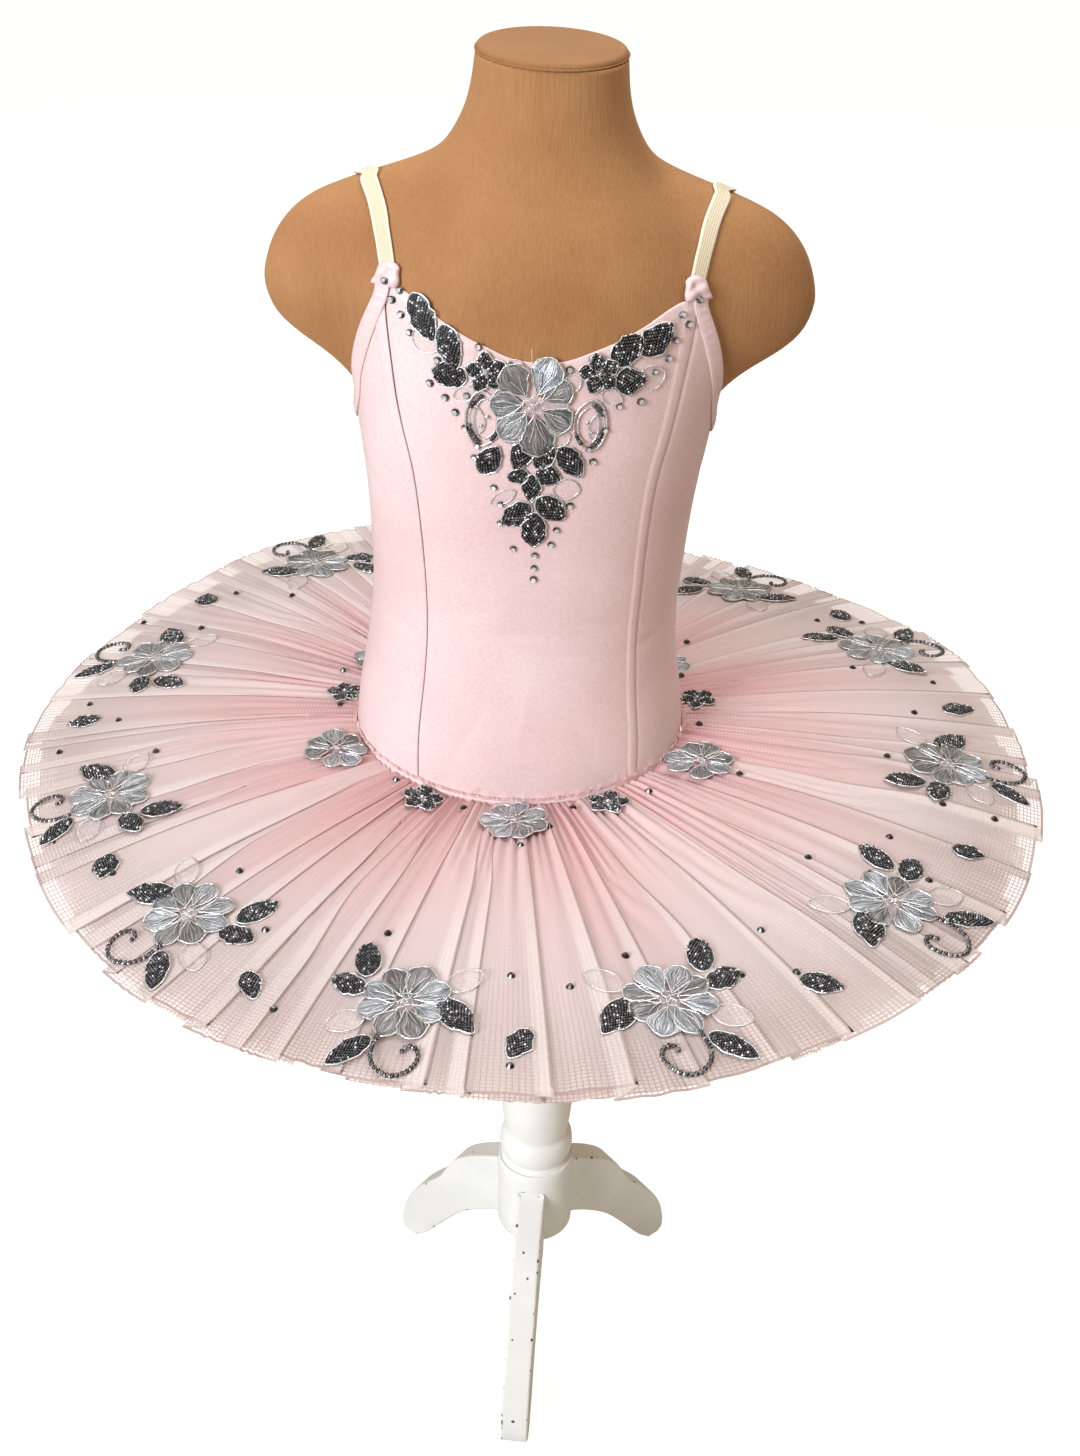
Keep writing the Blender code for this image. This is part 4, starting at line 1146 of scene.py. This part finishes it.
def silver_flower(mesh, x, y, across, tall, petals, turn, chance, base=0.4, centre=6.2):
    """A flower of satin-stitched petals, with a ring of cord and a few beads at its middle."""
    for n in (*range(0, petals, 2), *range(1, petals, 2)):
        angle = turn + 2 * math.pi * (n + chance.uniform(-0.13, 0.13)) / petals
        stretch = math.hypot(across / 2 * math.cos(angle), tall / 2 * math.sin(angle))
        foot = centre * 0.9
        length = (stretch - foot) * chance.uniform(0.93, 1.05)
        width = 2 * math.pi * (foot + 0.70 * length) / petals * chance.uniform(0.90, 1.06)
        petal(mesh, x, y, angle, foot, length, width, STITCH, tone=chance.uniform(0.0, 1.0),
              belly=chance.uniform(1.45, 1.9), blunt=chance.uniform(0.58, 0.70),
              base=base + 0.4 * (n % 2), dome=chance.uniform(0.9, 1.6),
              tilt=chance.uniform(-0.5, 0.5), cord=0.52, ragged=0.28)
        # Veins of cord run half way up each petal.
        for lean in (chance.uniform(-0.16, -0.06), chance.uniform(0.05, 0.15)):
            path = [flat_spot(x, y, angle + lean * t, foot + length * t * 0.62,
                              lean * 14 * t * t, base + 1.6 + 0.5 * t)
                    for t in (0, 0.3, 0.6, 0.85, 1)]
            tube(mesh, path, 0.30, sides=4, finish=CORD)
    # Loops of cord stand round the open centre.
    for k in range(4):
        bearing = turn + k * math.pi / 2 + chance.uniform(-0.3, 0.3)
        loop = [flat_spot(x + 0.55 * centre * math.cos(bearing),
                          y + 0.55 * centre * math.sin(bearing), 2 * math.pi * n / 9,
                          centre * (0.42 + 0.10 * math.sin(n * 2.2 + k)), 0, base + 1.5 + 0.2 * k)
                for n in range(9)]
        tube(mesh, loop, 0.36, sides=4, finish=CORD, loop=True)
    beads(mesh, [flat_spot(x, y, 2.2 * n, centre * 0.36 * (n > 0), 0, base + 1.2)
                 for n in range(4)], 0.8, SILVER)


def dark_flower(mesh, x, y, across, turn, chance, base=0.5):
    """A small flower of five dark petals round a pearl."""
    for n in range(5):
        angle = turn + 2 * math.pi * n / 5
        dark_leaf(mesh, x + 1.4 * math.cos(angle), y + 1.4 * math.sin(angle), angle,
                  across / 2 - 1.4, across * 0.40, chance, base=base + 0.25 * (n % 2))
    beads(mesh, [Vector((x, y, base + 1.8))], 1.5, SILVER)


def curl(mesh, points, count, radius):
    """A row of beads on a curling line, with cord along it."""
    table = [(n, *point) for n, point in enumerate(points)]
    steps = 12 * (len(points) - 1)
    line = [Vector((blend(table, n / 12, 1), blend(table, n / 12, 2), 0.9))
            for n in range(steps + 1)]
    lengths = [0.0]
    for first, second in zip(line, line[1:]):
        lengths.append(lengths[-1] + (second - first).length)
    spots = []
    for n in range(count):
        goal = lengths[-1] * n / (count - 1)
        spots.append(line[min(range(len(lengths)), key=lambda k: abs(lengths[k] - goal))])
    beads(mesh, spots, radius, BLACK, squash=0.8)
    tube(mesh, [line[n] - Vector((0, 0, 0.5)) for n in range(0, steps + 1, 3)], radius * 0.6,
         finish=CORD)


def stone(mesh, spot, radius, table=0.45):
    """A flat-backed cut stone: a dark rim of nine facets round a pale table, in millimetres. The
    table's paleness is a painted reflection, given to the faces turned up.
    """
    made = bmesh.ops.create_cone(mesh, cap_ends=True, segments=9, radius1=radius,
                                 radius2=radius * table, depth=radius * 0.7)["verts"]
    turn = Matrix.Rotation(spot.x * 7.3 + spot.y * 3.1, 4, "Z")
    # Faces turned up take the second material, whose paleness is a painted reflection.
    for face in {face for vert in made for face in vert.link_faces}:
        face.material_index = int(face.normal.z > 0.9)
    for vert in made:
        vert.co = turn @ vert.co + spot + Vector((0, 0, radius * 0.35))


def lay_down(mesh, lay, turn_over=False):
    """Moves a flat drawing onto its cloth."""
    for vert in mesh.verts:
        vert.co = lay(vert.co)
    if turn_over:
        bmesh.ops.reverse_faces(mesh, faces=mesh.faces)


def spray(mesh, chance):
    """A flower with four beaded leaves, two clear leaves and a curl; the hem is towards +y."""
    dark_leaf(mesh, -28, -15, math.radians(258), 28, 17, chance)
    dark_leaf(mesh, -24, -5, math.radians(186), 25, 16, chance)
    dark_leaf(mesh, 18, -7, math.radians(42), 37, 17, chance)
    dark_leaf(mesh, -12, 29, math.radians(130), 32, 15, chance)
    clear_leaf(mesh, 22, -14, math.radians(-42), 24, 17)
    clear_leaf(mesh, -20, 14, math.radians(146), 25, 16)
    curl(mesh, ((-8, 27), (-9, 38), (-6, 47), (0, 52), (7, 54), (14, 51), (18, 45), (19, 38),
                (16, 33), (11, 32), (9, 36)), 25, 1.8)
    silver_flower(mesh, 0, 0, 54, 59, 8, 0.25, chance)


def skirt_laying(ring, degrees, radius, reach, mirrored=False, sink=0.15):
    """Lays flat drawings on the crests of the net round one place on it."""
    inner = skirt_inner(degrees, 0)[0]

    def mean(x, y):
        turned = degrees + math.degrees(x * MM / (radius + y * MM))
        out = (radius + y * MM - inner) / (HEM_RADIUS - inner)
        return in_place(skirt_surface(turned, out, 0))

    samples = []
    for n in range(16):
        for share in (0.3, 0.65, 1.0):
            x, y = [reach * share * part for part in (math.cos(n * math.pi / 8),
                                                      math.sin(n * math.pi / 8))]
            spot = mean(x, y)
            hit = ring.ray_cast(spot + Vector((0, 0, 0.05)), Vector((0, 0, -1)), 0.1)[0]
            if hit:
                samples.append((x, y, hit.z - spot.z))
    level = sum(rise for _, _, rise in samples) / len(samples)
    slope_x = sum(x * rise for x, _, rise in samples) / sum(x * x for x, _, _ in samples)
    slope_y = sum(y * rise for _, y, rise in samples) / sum(y * y for _, y, _ in samples)
    crest = max(rise - level - slope_x * x - slope_y * y for x, y, rise in samples)

    def lay(spot):
        x = -spot.x if mirrored else spot.x
        rise = level + slope_x * x + slope_y * spot.y + crest * (1 - sink)
        return mean(x, spot.y) + Vector((0, 0, rise + spot.z * MM))
    return lay


def lace_piece(name, stands_for, mesh, lay, turn_over=True):
    """One motif, drawn flat, as a piece on the net. A mirrored drawing is the right way up."""
    lay_down(mesh, lay, turn_over)
    return add_piece(name, mesh, LACE, [stands_for])


def skirt_lace(ring):
    made = []
    for n, (degrees, mirrored) in enumerate(zip(SPRAY_ANGLES, MIRRORED)):
        mesh = bmesh.new()
        spray(mesh, random.Random(100 + n))
        lay = skirt_laying(ring, degrees, SPRAY_RADIUS, 44, mirrored)
        made.append(lace_piece(f"lace_spray_{n + 1:02d}", f"skirt_spray_{n + 1:02d}",
                               mesh, lay, not mirrored))
    for n, degrees in enumerate(LEAF_ANGLES):
        mesh = bmesh.new()
        chance = random.Random(200 + n)
        turn = chance.uniform(0.6, 2.5)
        dark_leaf(mesh, -11 * math.cos(turn), -11 * math.sin(turn), turn,
                  chance.uniform(21, 27), chance.uniform(14, 18), chance)
        lay = skirt_laying(ring, degrees, LEAF_RADIUS, 12)
        made.append(lace_piece(f"lace_leaf_{n + 1:02d}", f"skirt_leaf_{n + 1:02d}",
                               mesh, lay))
    for kind, angles, size, slot in (("big", BIG_FLOWER_ANGLES, 0.0185, "silver_lace"),
                                     ("small", SMALL_FLOWER_ANGLES, 0.0105, "dark_lace")):
        for n, degrees in enumerate(angles):
            mesh = bmesh.new()
            chance = random.Random(300 + n)
            if kind == "big":
                silver_flower(mesh, 0, 0, 47, 44, 7, chance.uniform(0, 1), chance, centre=5.0)
            else:
                dark_flower(mesh, 0, 0, 27, chance.uniform(0, 1), chance)
            lay = skirt_laying(ring, degrees, skirt_inner(degrees, 0)[0] + size + 0.004,
                               18 if kind == "big" else 10)
            made.append(lace_piece(f"lace_hip_{kind}_{n + 1}", f"hip_flower_{kind}_{n + 1}",
                                   mesh, lay))
    return made


SKIRT_STONES = (        # degrees, radius mm
    (-46, 251), (-35, 277), (-27, 327), (-20, 245), (-2, 267), (5, 277), (13, 257), (-2, 335),
    (32, 267), (25, 293), (31, 305), (49, 239), (56, 305), (61, 270), (52, 274), (72, 295),
    (72, 329), (81, 257), (95, 285), (104, 315), (109, 261), (127, 292), (124, 325), (-95, 322),
    (-90, 293), (-84, 332), (-80, 262), (-66, 272), (-66, 343), (-57, 316), (-117, 290),
    (-116, 345), (150, 268), (158, 322), (168, 290), (-172, 262), (-166, 325), (-151, 283),
    (-133, 262), (-128, 305), (-47, 114), (-20, 108), (0, 143), (9, 123), (20, 106), (45, 123),
    (85, 128), (65, 164), (117, 134), (134, 177), (-114, 146), (-94, 130), (150, 130),
    (170, 122), (-168, 138), (-145, 128))


def skirt_stones(ring):
    whole = bmesh.new()
    for degrees, radius in SKIRT_STONES:
        one = bmesh.new()
        stone(one, Vector((0, 0, 0)), 2.6)
        lay_down(one, skirt_laying(ring, degrees, radius * MM, 7.0, sink=0.35), True)
        data = bpy.data.meshes.new("one")
        one.to_mesh(data)
        one.free()
        whole.from_mesh(data)
        bpy.data.meshes.remove(data)
    return faceted(add_piece("skirt_stones", whole, DARK_STONES))


CHEST_LEVEL = 0.905     # height at which sideways distances on the chest are measured
SIDEWAYS = [(n / 2, body_point(n / 2, CHEST_LEVEL).x / MM) for n in range(160)]
chest_out = curve(SIDEWAYS)
chest_degrees = curve([(x, degrees) for degrees, x in SIDEWAYS])


def chest_x(degrees):
    """Millimetres to the side of the chest's middle line, as seen from straight ahead."""
    return math.copysign(chest_out(abs(degrees)), degrees)


def on_chest(spot):
    degrees = math.copysign(chest_degrees(abs(spot.x)), spot.x)
    return in_place(body_point(degrees, spot.y * MM, LACE_SEAT + spot.z * MM))


def leaf_foot(degrees, z, length, direction):
    """A leaf's foot and its turn in radians, from the leaf's middle."""
    turn = math.radians(direction)
    return chest_x(degrees) - length / 2 * math.cos(turn), z - length / 2 * math.sin(turn), turn


DARK_LEAVES = (         # degrees, height mm, length mm, width mm, direction in degrees
    (-48, 943, 30, 15, -56), (-37, 929, 27, 14, -64), (-36, 913, 21, 16, 172),
    (47, 937, 26, 16, 39), (36, 932, 24, 16, 40), (37, 914, 20, 15, 5),
    (-6, 868, 20, 13, -110), (4, 869, 20, 13, 66), (-19, 864, 21, 14, 60),
    (15, 865, 24, 14, -55), (-7, 855, 13, 11, 190), (6, 856, 16, 13, -20),
    (-7, 829, 22, 15, 220), (8, 834, 22, 15, -38), (1, 819, 24, 15, -90),
    (-1, 847, 19, 11, -90))
CLEAR_LEAVES = (        # the same
    (-46, 930, 17, 13, -30), (45, 915, 16, 14, 20), (-13, 840, 17, 8, 215), (14, 847, 16, 14, 0),
    (-10, 921, 12, 9, 150), (14, 913, 13, 10, 40), (-30, 903, 13, 9, 205), (30, 905, 13, 9, -25),
    (10, 879, 13, 9, 30), (-11, 880, 12, 9, 160))
CHEST_STONES = (        # degrees, height mm, size of the stone
    (-58, 955, 1.9), (-60, 949, 2.1), (-56, 942, 2.1), (-52, 933, 2.0), (-41, 920, 2.2),
    (-43, 906, 2.2), (-37, 899, 2.2), (-29, 902, 2.0), (-33, 891, 2.2), (-29, 882, 2.2),
    (-24, 872, 2.2), (-25, 864, 2.2), (-17, 846, 2.0), (-14, 835, 2.0), (-14, 822, 2.0),
    (-8, 805, 2.0), (9, 809, 2.0), (11, 819, 2.0), (16, 836, 2.1), (24, 865, 2.1),
    (22, 873, 1.9), (28, 885, 2.1), (27, 896, 1.9), (33, 899, 1.9), (41, 901, 2.2),
    (57, 949, 1.9), (59, 943, 2.1), (54, 935, 1.9), (51, 925, 2.0), (46, 918, 1.9),
    (-12, 922, 2.0), (-26, 931, 2.1), (13, 921, 2.2), (22, 927, 1.9), (-37, 938, 1.6),
    (2, 801, 2.1), (2, 792, 2.0), (2, 784, 2.2))


def chest_lace():
    mesh = bmesh.new()
    chance = random.Random(7)
    for degrees, z, length, width, direction in DARK_LEAVES:
        dark_leaf(mesh, *leaf_foot(degrees, z, length, direction), length, width, chance)
    for degrees, z, length, width, direction in CLEAR_LEAVES:
        clear_leaf(mesh, *leaf_foot(degrees, z, length, direction), length, width)
    for degrees, z in ((-22, 917), (25, 919)):
        dark_flower(mesh, chest_x(degrees), z, 25, 0.5, chance, base=0.9)
    # An open loop of cord on each side of the flower, with dark beads on two stretches of it.
    for degrees, z, side, size in ((-22, 889, -1, 1.0), (22, 888, 1, 0.92)):
        at = chest_x(degrees)
        for wide, tall, shift, radius in ((10.5, 16.5, 0, 0.65), (6.8, 12.0, -1.2, 0.5)):
            path = [Vector((at + side * size * (wide * math.sin(turn) + shift),
                            z + size * tall * math.cos(turn) * (1 + 0.07 * math.sin(3 * turn)),
                            0.8)) for turn in [math.radians(step) for step in range(0, 360, 15)]]
            tube(mesh, path, radius, finish=CORD, loop=True)
        for first, last in ((15, 62), (108, 170), (215, 250)):
            beads(mesh, [Vector((at + side * size * (8.8 * math.sin(turn) - 0.5),
                                 z + size * 14.4 * math.cos(turn), 1.0))
                         for turn in [math.radians(step) for step in range(first, last, 9)]],
                  1.5, BLACK, squash=0.8)
        clear_leaf(mesh, at + side * 2, z - 9, math.radians(90 - side * 12), 17, 9)
        beads(mesh, [Vector((at - side * 2, z + 2, 1.2)), Vector((at + side, z - 4, 1.2))],
              1.3, SILVER)
    silver_flower(mesh, chest_x(-2), 900, 49, 63, 7, 1.30, chance, base=1.2, centre=6.4)
    lay_down(mesh, on_chest)
    add_piece("chest_lace", mesh, LACE, ["chest_applique"])

    mesh = bmesh.new()
    for degrees, z, size in CHEST_STONES:
        stone(mesh, Vector((chest_x(degrees), z, 0.25)), 1.12 * size, table=0.62)
    for degrees, z in ((-63, 958.5), (63, 956)):
        stone(mesh, Vector((chest_x(degrees), z, 2.6)), 2.1)
    lay_down(mesh, on_chest)
    faceted(add_piece("bodice_stones", mesh, STONES))


THREAD_ENDS = (         # degrees, height mm, length mm, sideways lean mm
    (-3, 921, 12, -1), (1, 922, 7, 3), (-19, 626, 9, 3), (-38, 628, 7, -3), (26, 627, 8, -4),
    (-63, 632, 10, 5), (58, 629, 9, 3))


def thread_ends():
    """Cut ends of sewing thread that stand out of the seams."""
    mesh = bmesh.new()
    for degrees, z, length, lean in THREAD_ENDS:
        start = body_point(degrees, z * MM, LACE_SEAT)
        side = polar(degrees + 90, 1, 0)
        out = polar(degrees, 1, 0)
        path = []
        for n in range(7):
            t = n / 6
            path.append(start + side * lean * MM * t * t + out * 0.0030 * math.sin(2.4 * t)
                        + Vector((0, 0, length * MM * t)))
        tube(mesh, path, 0.00026, sides=5)
    for vert in mesh.verts:
        vert.co = in_place(vert.co)
    add_piece("thread_ends", mesh, [loose_thread()])


# -------------------------------------------------------------------------------------- stand

POST = (0.0115, 0.0025) # where the post's axis stands
BLOCK_RADIUS = 0.0322   # of the post's block, which the legs meet
POST_PROFILE = (  # radius, height
    (0.0000, 0.1110), (0.0240, 0.1110), (0.0286, 0.1135), (0.0315, 0.1180), (0.0322, 0.1240),
    (0.0322, 0.1880), (0.0300, 0.1935), (0.0266, 0.1970), (0.0286, 0.2005), (0.0304, 0.2060),
    (0.0308, 0.2120), (0.0296, 0.2190), (0.0256, 0.2240), (0.0269, 0.2310), (0.0285, 0.2420),
    (0.0294, 0.2550), (0.0294, 0.2680), (0.0283, 0.2800), (0.0250, 0.2920), (0.0280, 0.2985),
    (0.0291, 0.3060), (0.0278, 0.3130), (0.0235, 0.3190), (0.0180, 0.3400), (0.0152, 0.3800),
    (0.0150, 0.5450), (0.0200, 0.5580), (0.0280, 0.5600), (0.0280, 0.5747), (0.0000, 0.5747))
LEG_THICKNESS = 0.023
LEG_EASING = 0.0018     # radius of the legs' sanded edges
LEG_ROOT = 0.0275       # what lies nearer to the post's axis than this is scribed to its block
LEG_ANGLES = {"front": -96.0, "right": 38.0, "left": 142.0}     # from +X
LEG_OUTLINE = (  # distance from the post's axis, height; from the foot round to the foot
    (0.1330, 0.0000), (0.1450, 0.0000), (0.1500, 0.0050), (0.1500, 0.0180), (0.1440, 0.0420),
    (0.1320, 0.0640), (0.1170, 0.0835), (0.1025, 0.1005), (0.0930, 0.1190), (0.0825, 0.1360),
    (0.0670, 0.1505), (0.0500, 0.1625), (0.0270, 0.1770), (0.0270, 0.1080), (0.0420, 0.1000),
    (0.0590, 0.0875), (0.0760, 0.0720), (0.0920, 0.0520), (0.1055, 0.0330), (0.1200, 0.0130))


def smooth_run(points, steps):
    table = [(n, *point) for n, point in enumerate(points)]
    return [(blend(table, n / steps, 1), blend(table, n / steps, 2))
            for n in range((len(points) - 1) * steps + 1)]


def stand():
    # The post is smooth between its flat base and the square steps at its top.
    turning = smooth_run(POST_PROFILE[1:26], 4)
    mesh = turned([POST_PROFILE[0]] + turning + list(POST_PROFILE[26:]), 72, POST)
    add_piece("post_turned", mesh, [PAINT], ["stand_post"])
    for name, degrees in LEG_ANGLES.items():
        # The lower and the upper curve are smoothed; the foot and the inner end stay straight.
        outline = smooth_run(LEG_OUTLINE[13:] + LEG_OUTLINE[:1], 5) + [LEG_OUTLINE[1]]
        outline += smooth_run(LEG_OUTLINE[2:13], 5)
        mesh = bmesh.new()
        edge = mesh.loops.layers.float.new("edge")
        board = mesh.faces.new([mesh.verts.new((reach, -LEG_THICKNESS / 2, height))
                                for reach, height in outline])
        drawn = bmesh.ops.extrude_face_region(mesh, geom=[board])["geom"]
        bmesh.ops.translate(mesh, vec=(0, LEG_THICKNESS, 0),
                            verts=[part for part in drawn if isinstance(part, bmesh.types.BMVert)])
        for n in range(1, 8):
            everything = mesh.verts[:] + mesh.edges[:] + mesh.faces[:]
            bmesh.ops.bisect_plane(mesh, geom=everything, plane_no=(0, 1, 0),
                                   plane_co=(0, (n / 8 - 0.5) * LEG_THICKNESS, 0))
        for vert in mesh.verts:     # the inner end is scribed to the round block
            if vert.co.x < LEG_ROOT:
                vert.co.x = math.sqrt((BLOCK_RADIUS + EDGE_GAP) ** 2 - vert.co.y ** 2)
        bmesh.ops.recalc_face_normals(mesh, faces=mesh.faces)
        sharp = [side for side in mesh.edges
                 if len(side.link_faces) == 2 and side.calc_face_angle() > math.radians(45)]
        eased = bmesh.ops.bevel(mesh, geom=sharp, offset=LEG_EASING, segments=3, profile=0.5,
                                affect="EDGES", material=-1)["faces"]
        for face in eased:
            for loop in face.loops:
                loop[edge] = 1.0
        place = Matrix.Translation((*POST, 0)) @ Matrix.Rotation(math.radians(degrees), 4, "Z")
        bmesh.ops.transform(mesh, verts=mesh.verts, matrix=place)
        made = add_piece(f"leg_{name}_board", mesh, [PAINT], ["stand_leg_" + name])
        for face in made.data.polygons:
            if face.area > 0.0004:
                face.use_smooth = False


# -------------------------------------------------------------------------------------- scene

CHIPS = (       # x, y, z, radius: knocks in the paint of the legs
    (-0.0040, -0.0505, 0.160, 0.0015), (0.0020, -0.068, 0.147, 0.0010),
    (0.0055, -0.0825, 0.132, 0.0013), (-0.0050, -0.0885, 0.1205, 0.0009),
    (-0.0065, -0.1095, 0.088, 0.0009), (-0.0050, -0.144, 0.028, 0.0017),
    (0.0097, -0.110, 0.089, 0.0012), (0.062, 0.028, 0.1585, 0.0018),
    (0.127, 0.098, 0.015, 0.0009), (-0.044, 0.0405, 0.1505, 0.0010))

VIEW_PITCH = 0.5631     # radians, as the heading and the roll
VIEW_HEADING = 0.0138
VIEW_ROLL = 0.0208
VIEW_PLACE = (-0.0062, -0.9956, 1.2539)
VIEW_LENS = 40.5        # mm, on a 36 mm frame


def camera():
    data = bpy.data.cameras.new("camera")
    data.sensor_width = 36
    data.lens = VIEW_LENS
    ahead = Vector((math.sin(VIEW_HEADING) * math.cos(VIEW_PITCH),
                    math.cos(VIEW_HEADING) * math.cos(VIEW_PITCH), -math.sin(VIEW_PITCH)))
    level = ahead.cross(Vector((0, 0, 1))).normalized()
    upright = level.cross(ahead)
    side = level * math.cos(VIEW_ROLL) + upright * math.sin(VIEW_ROLL)
    rise = upright * math.cos(VIEW_ROLL) - level * math.sin(VIEW_ROLL)
    turn = Matrix((side, rise, -ahead)).transposed().to_4x4()
    made = bpy.data.objects.new("camera", data)
    made.matrix_world = Matrix.Translation(VIEW_PLACE) @ turn
    bpy.context.scene.collection.objects.link(made)
    bpy.context.scene.camera = made


def lamp(name, place, target, size, power, tint):
    data = bpy.data.lights.new(name, "AREA")
    data.size = size
    data.energy = power
    data.color = colour(tint)[:3]
    made = bpy.data.objects.new(name, data)
    made.location = place
    made.rotation_euler = (Vector(target) - Vector(place)).to_track_quat("-Z", "Y").to_euler()
    bpy.context.scene.collection.objects.link(made)


def studio():
    mesh = bmesh.new()
    bmesh.ops.create_grid(mesh, x_segments=2, y_segments=2, size=20)
    data = bpy.data.meshes.new("studio_floor")
    mesh.to_mesh(data)
    mesh.free()
    data.materials.append(studio_floor())
    floor = bpy.data.objects.new("studio_floor", data)
    floor.location.z = -0.0005
    bpy.context.scene.collection.objects.link(floor)
    lamp("key", (-1.70, -1.90, 1.75), (0, 0, 0.75), 1.1, 78, "#eff5ff")
    lamp("top", (0.40, 0.15, 2.9), (0.05, 0, 0.6), 2.0, 48, "#f8faff")
    # The far side of the room is warmer and dimmer than the wall behind the stand.
    world = bpy.data.worlds.new("pale room")
    world.use_nodes = True
    tree = world.node_tree
    seen = node(tree, "LightPath").outputs["Is Camera Ray"]
    wall = node(tree, "Mix", {"Factor": seen, MIX_A: colour("#9e8b71"), MIX_B: colour("#f6f6f5")},
                data_type="RGBA")
    tree.links.new(wall.outputs[2], tree.nodes["Background"].inputs[0])
    bpy.context.scene.world = world
    bpy.context.scene.view_settings.view_transform = "Standard"
    bpy.context.scene.cycles.transparent_max_bounces = 24


JERSEY = jersey("cotton jersey, tan", "#976841", "#b28457")
# The cap's jersey is drawn darker than the body's.
CAP_JERSEY = jersey("cotton jersey, darker on the cap", "#875b38", "#a0744a")
SATIN = stretch_satin()
ELASTIC_BRAID = elastic()
# From the waist to the hem.
TOP_TINTS = ((0.0, "#f3cfcf"), (0.34, "#f7dedd"), (0.72, "#fdf6f5"), (1.0, "#fbf8f5"))
UNDER_TINTS = ((0.0, "#f4c9ca"), (0.45, "#f8d9d9"), (0.75, "#fbecea"), (1.0, "#faf3f0"))
NET_TOP = net("nylon tulle, pink to white", TOP_TINTS, "#ab8d86", 0.80, 0.32)
NET_UNDER = net("nylon tulle, under layers", UNDER_TINTS, "#c0a096", 0.96, 0.50)
NET_HEADING = net("nylon tulle, gathered heading", TOP_TINTS, "#ecc4c0", 0.92, 0.92)
BLACK_GLASS = ((0.40, "#1b191a"), (0.55, "#3a3739"), (0.70, "#77777b"))
LACE = [satin_stitch(), silver_cord(), dark_ground(),
        bead("black glass seed beads", BLACK_GLASS, 0.15),
        bead("silver-lined seed beads", ((0.4, "#a9aeb2"), (0.6, "#f6f8f9")), 0.6),
        clear_film()]
# The tables' paler colours are painted reflections on the stones' upturned faces.
STONES = [bead("gunmetal stone rims", ((0.4, "#3d3c3d"), (0.6, "#75757a")), 0.7),
          bead("cut stone tables, painted reflection", ((0.4, "#c2c6ca"), (0.6, "#ffffff")), 0.35)]
DARK_STONES = [bead("haematite stone rims", ((0.4, "#1c1e1d"), (0.6, "#3b3f3d")), 0.5),
               bead("haematite stone tables, painted reflection", ((0.4, "#3c4341"), (0.6, "#858d8a")), 0.6)]
PAINT = white_paint()

camera()
studio()
dress_form()
bodice()
bindings()
straps()
brief()
rings = skirt()
bpy.context.view_layer.update()
top_ring = BVHTree.FromObject(rings[0], bpy.context.evaluated_depsgraph_get())
trim = skirt_lace(top_ring) + [skirt_stones(top_ring)]
chest_lace()
thread_ends()
stand()
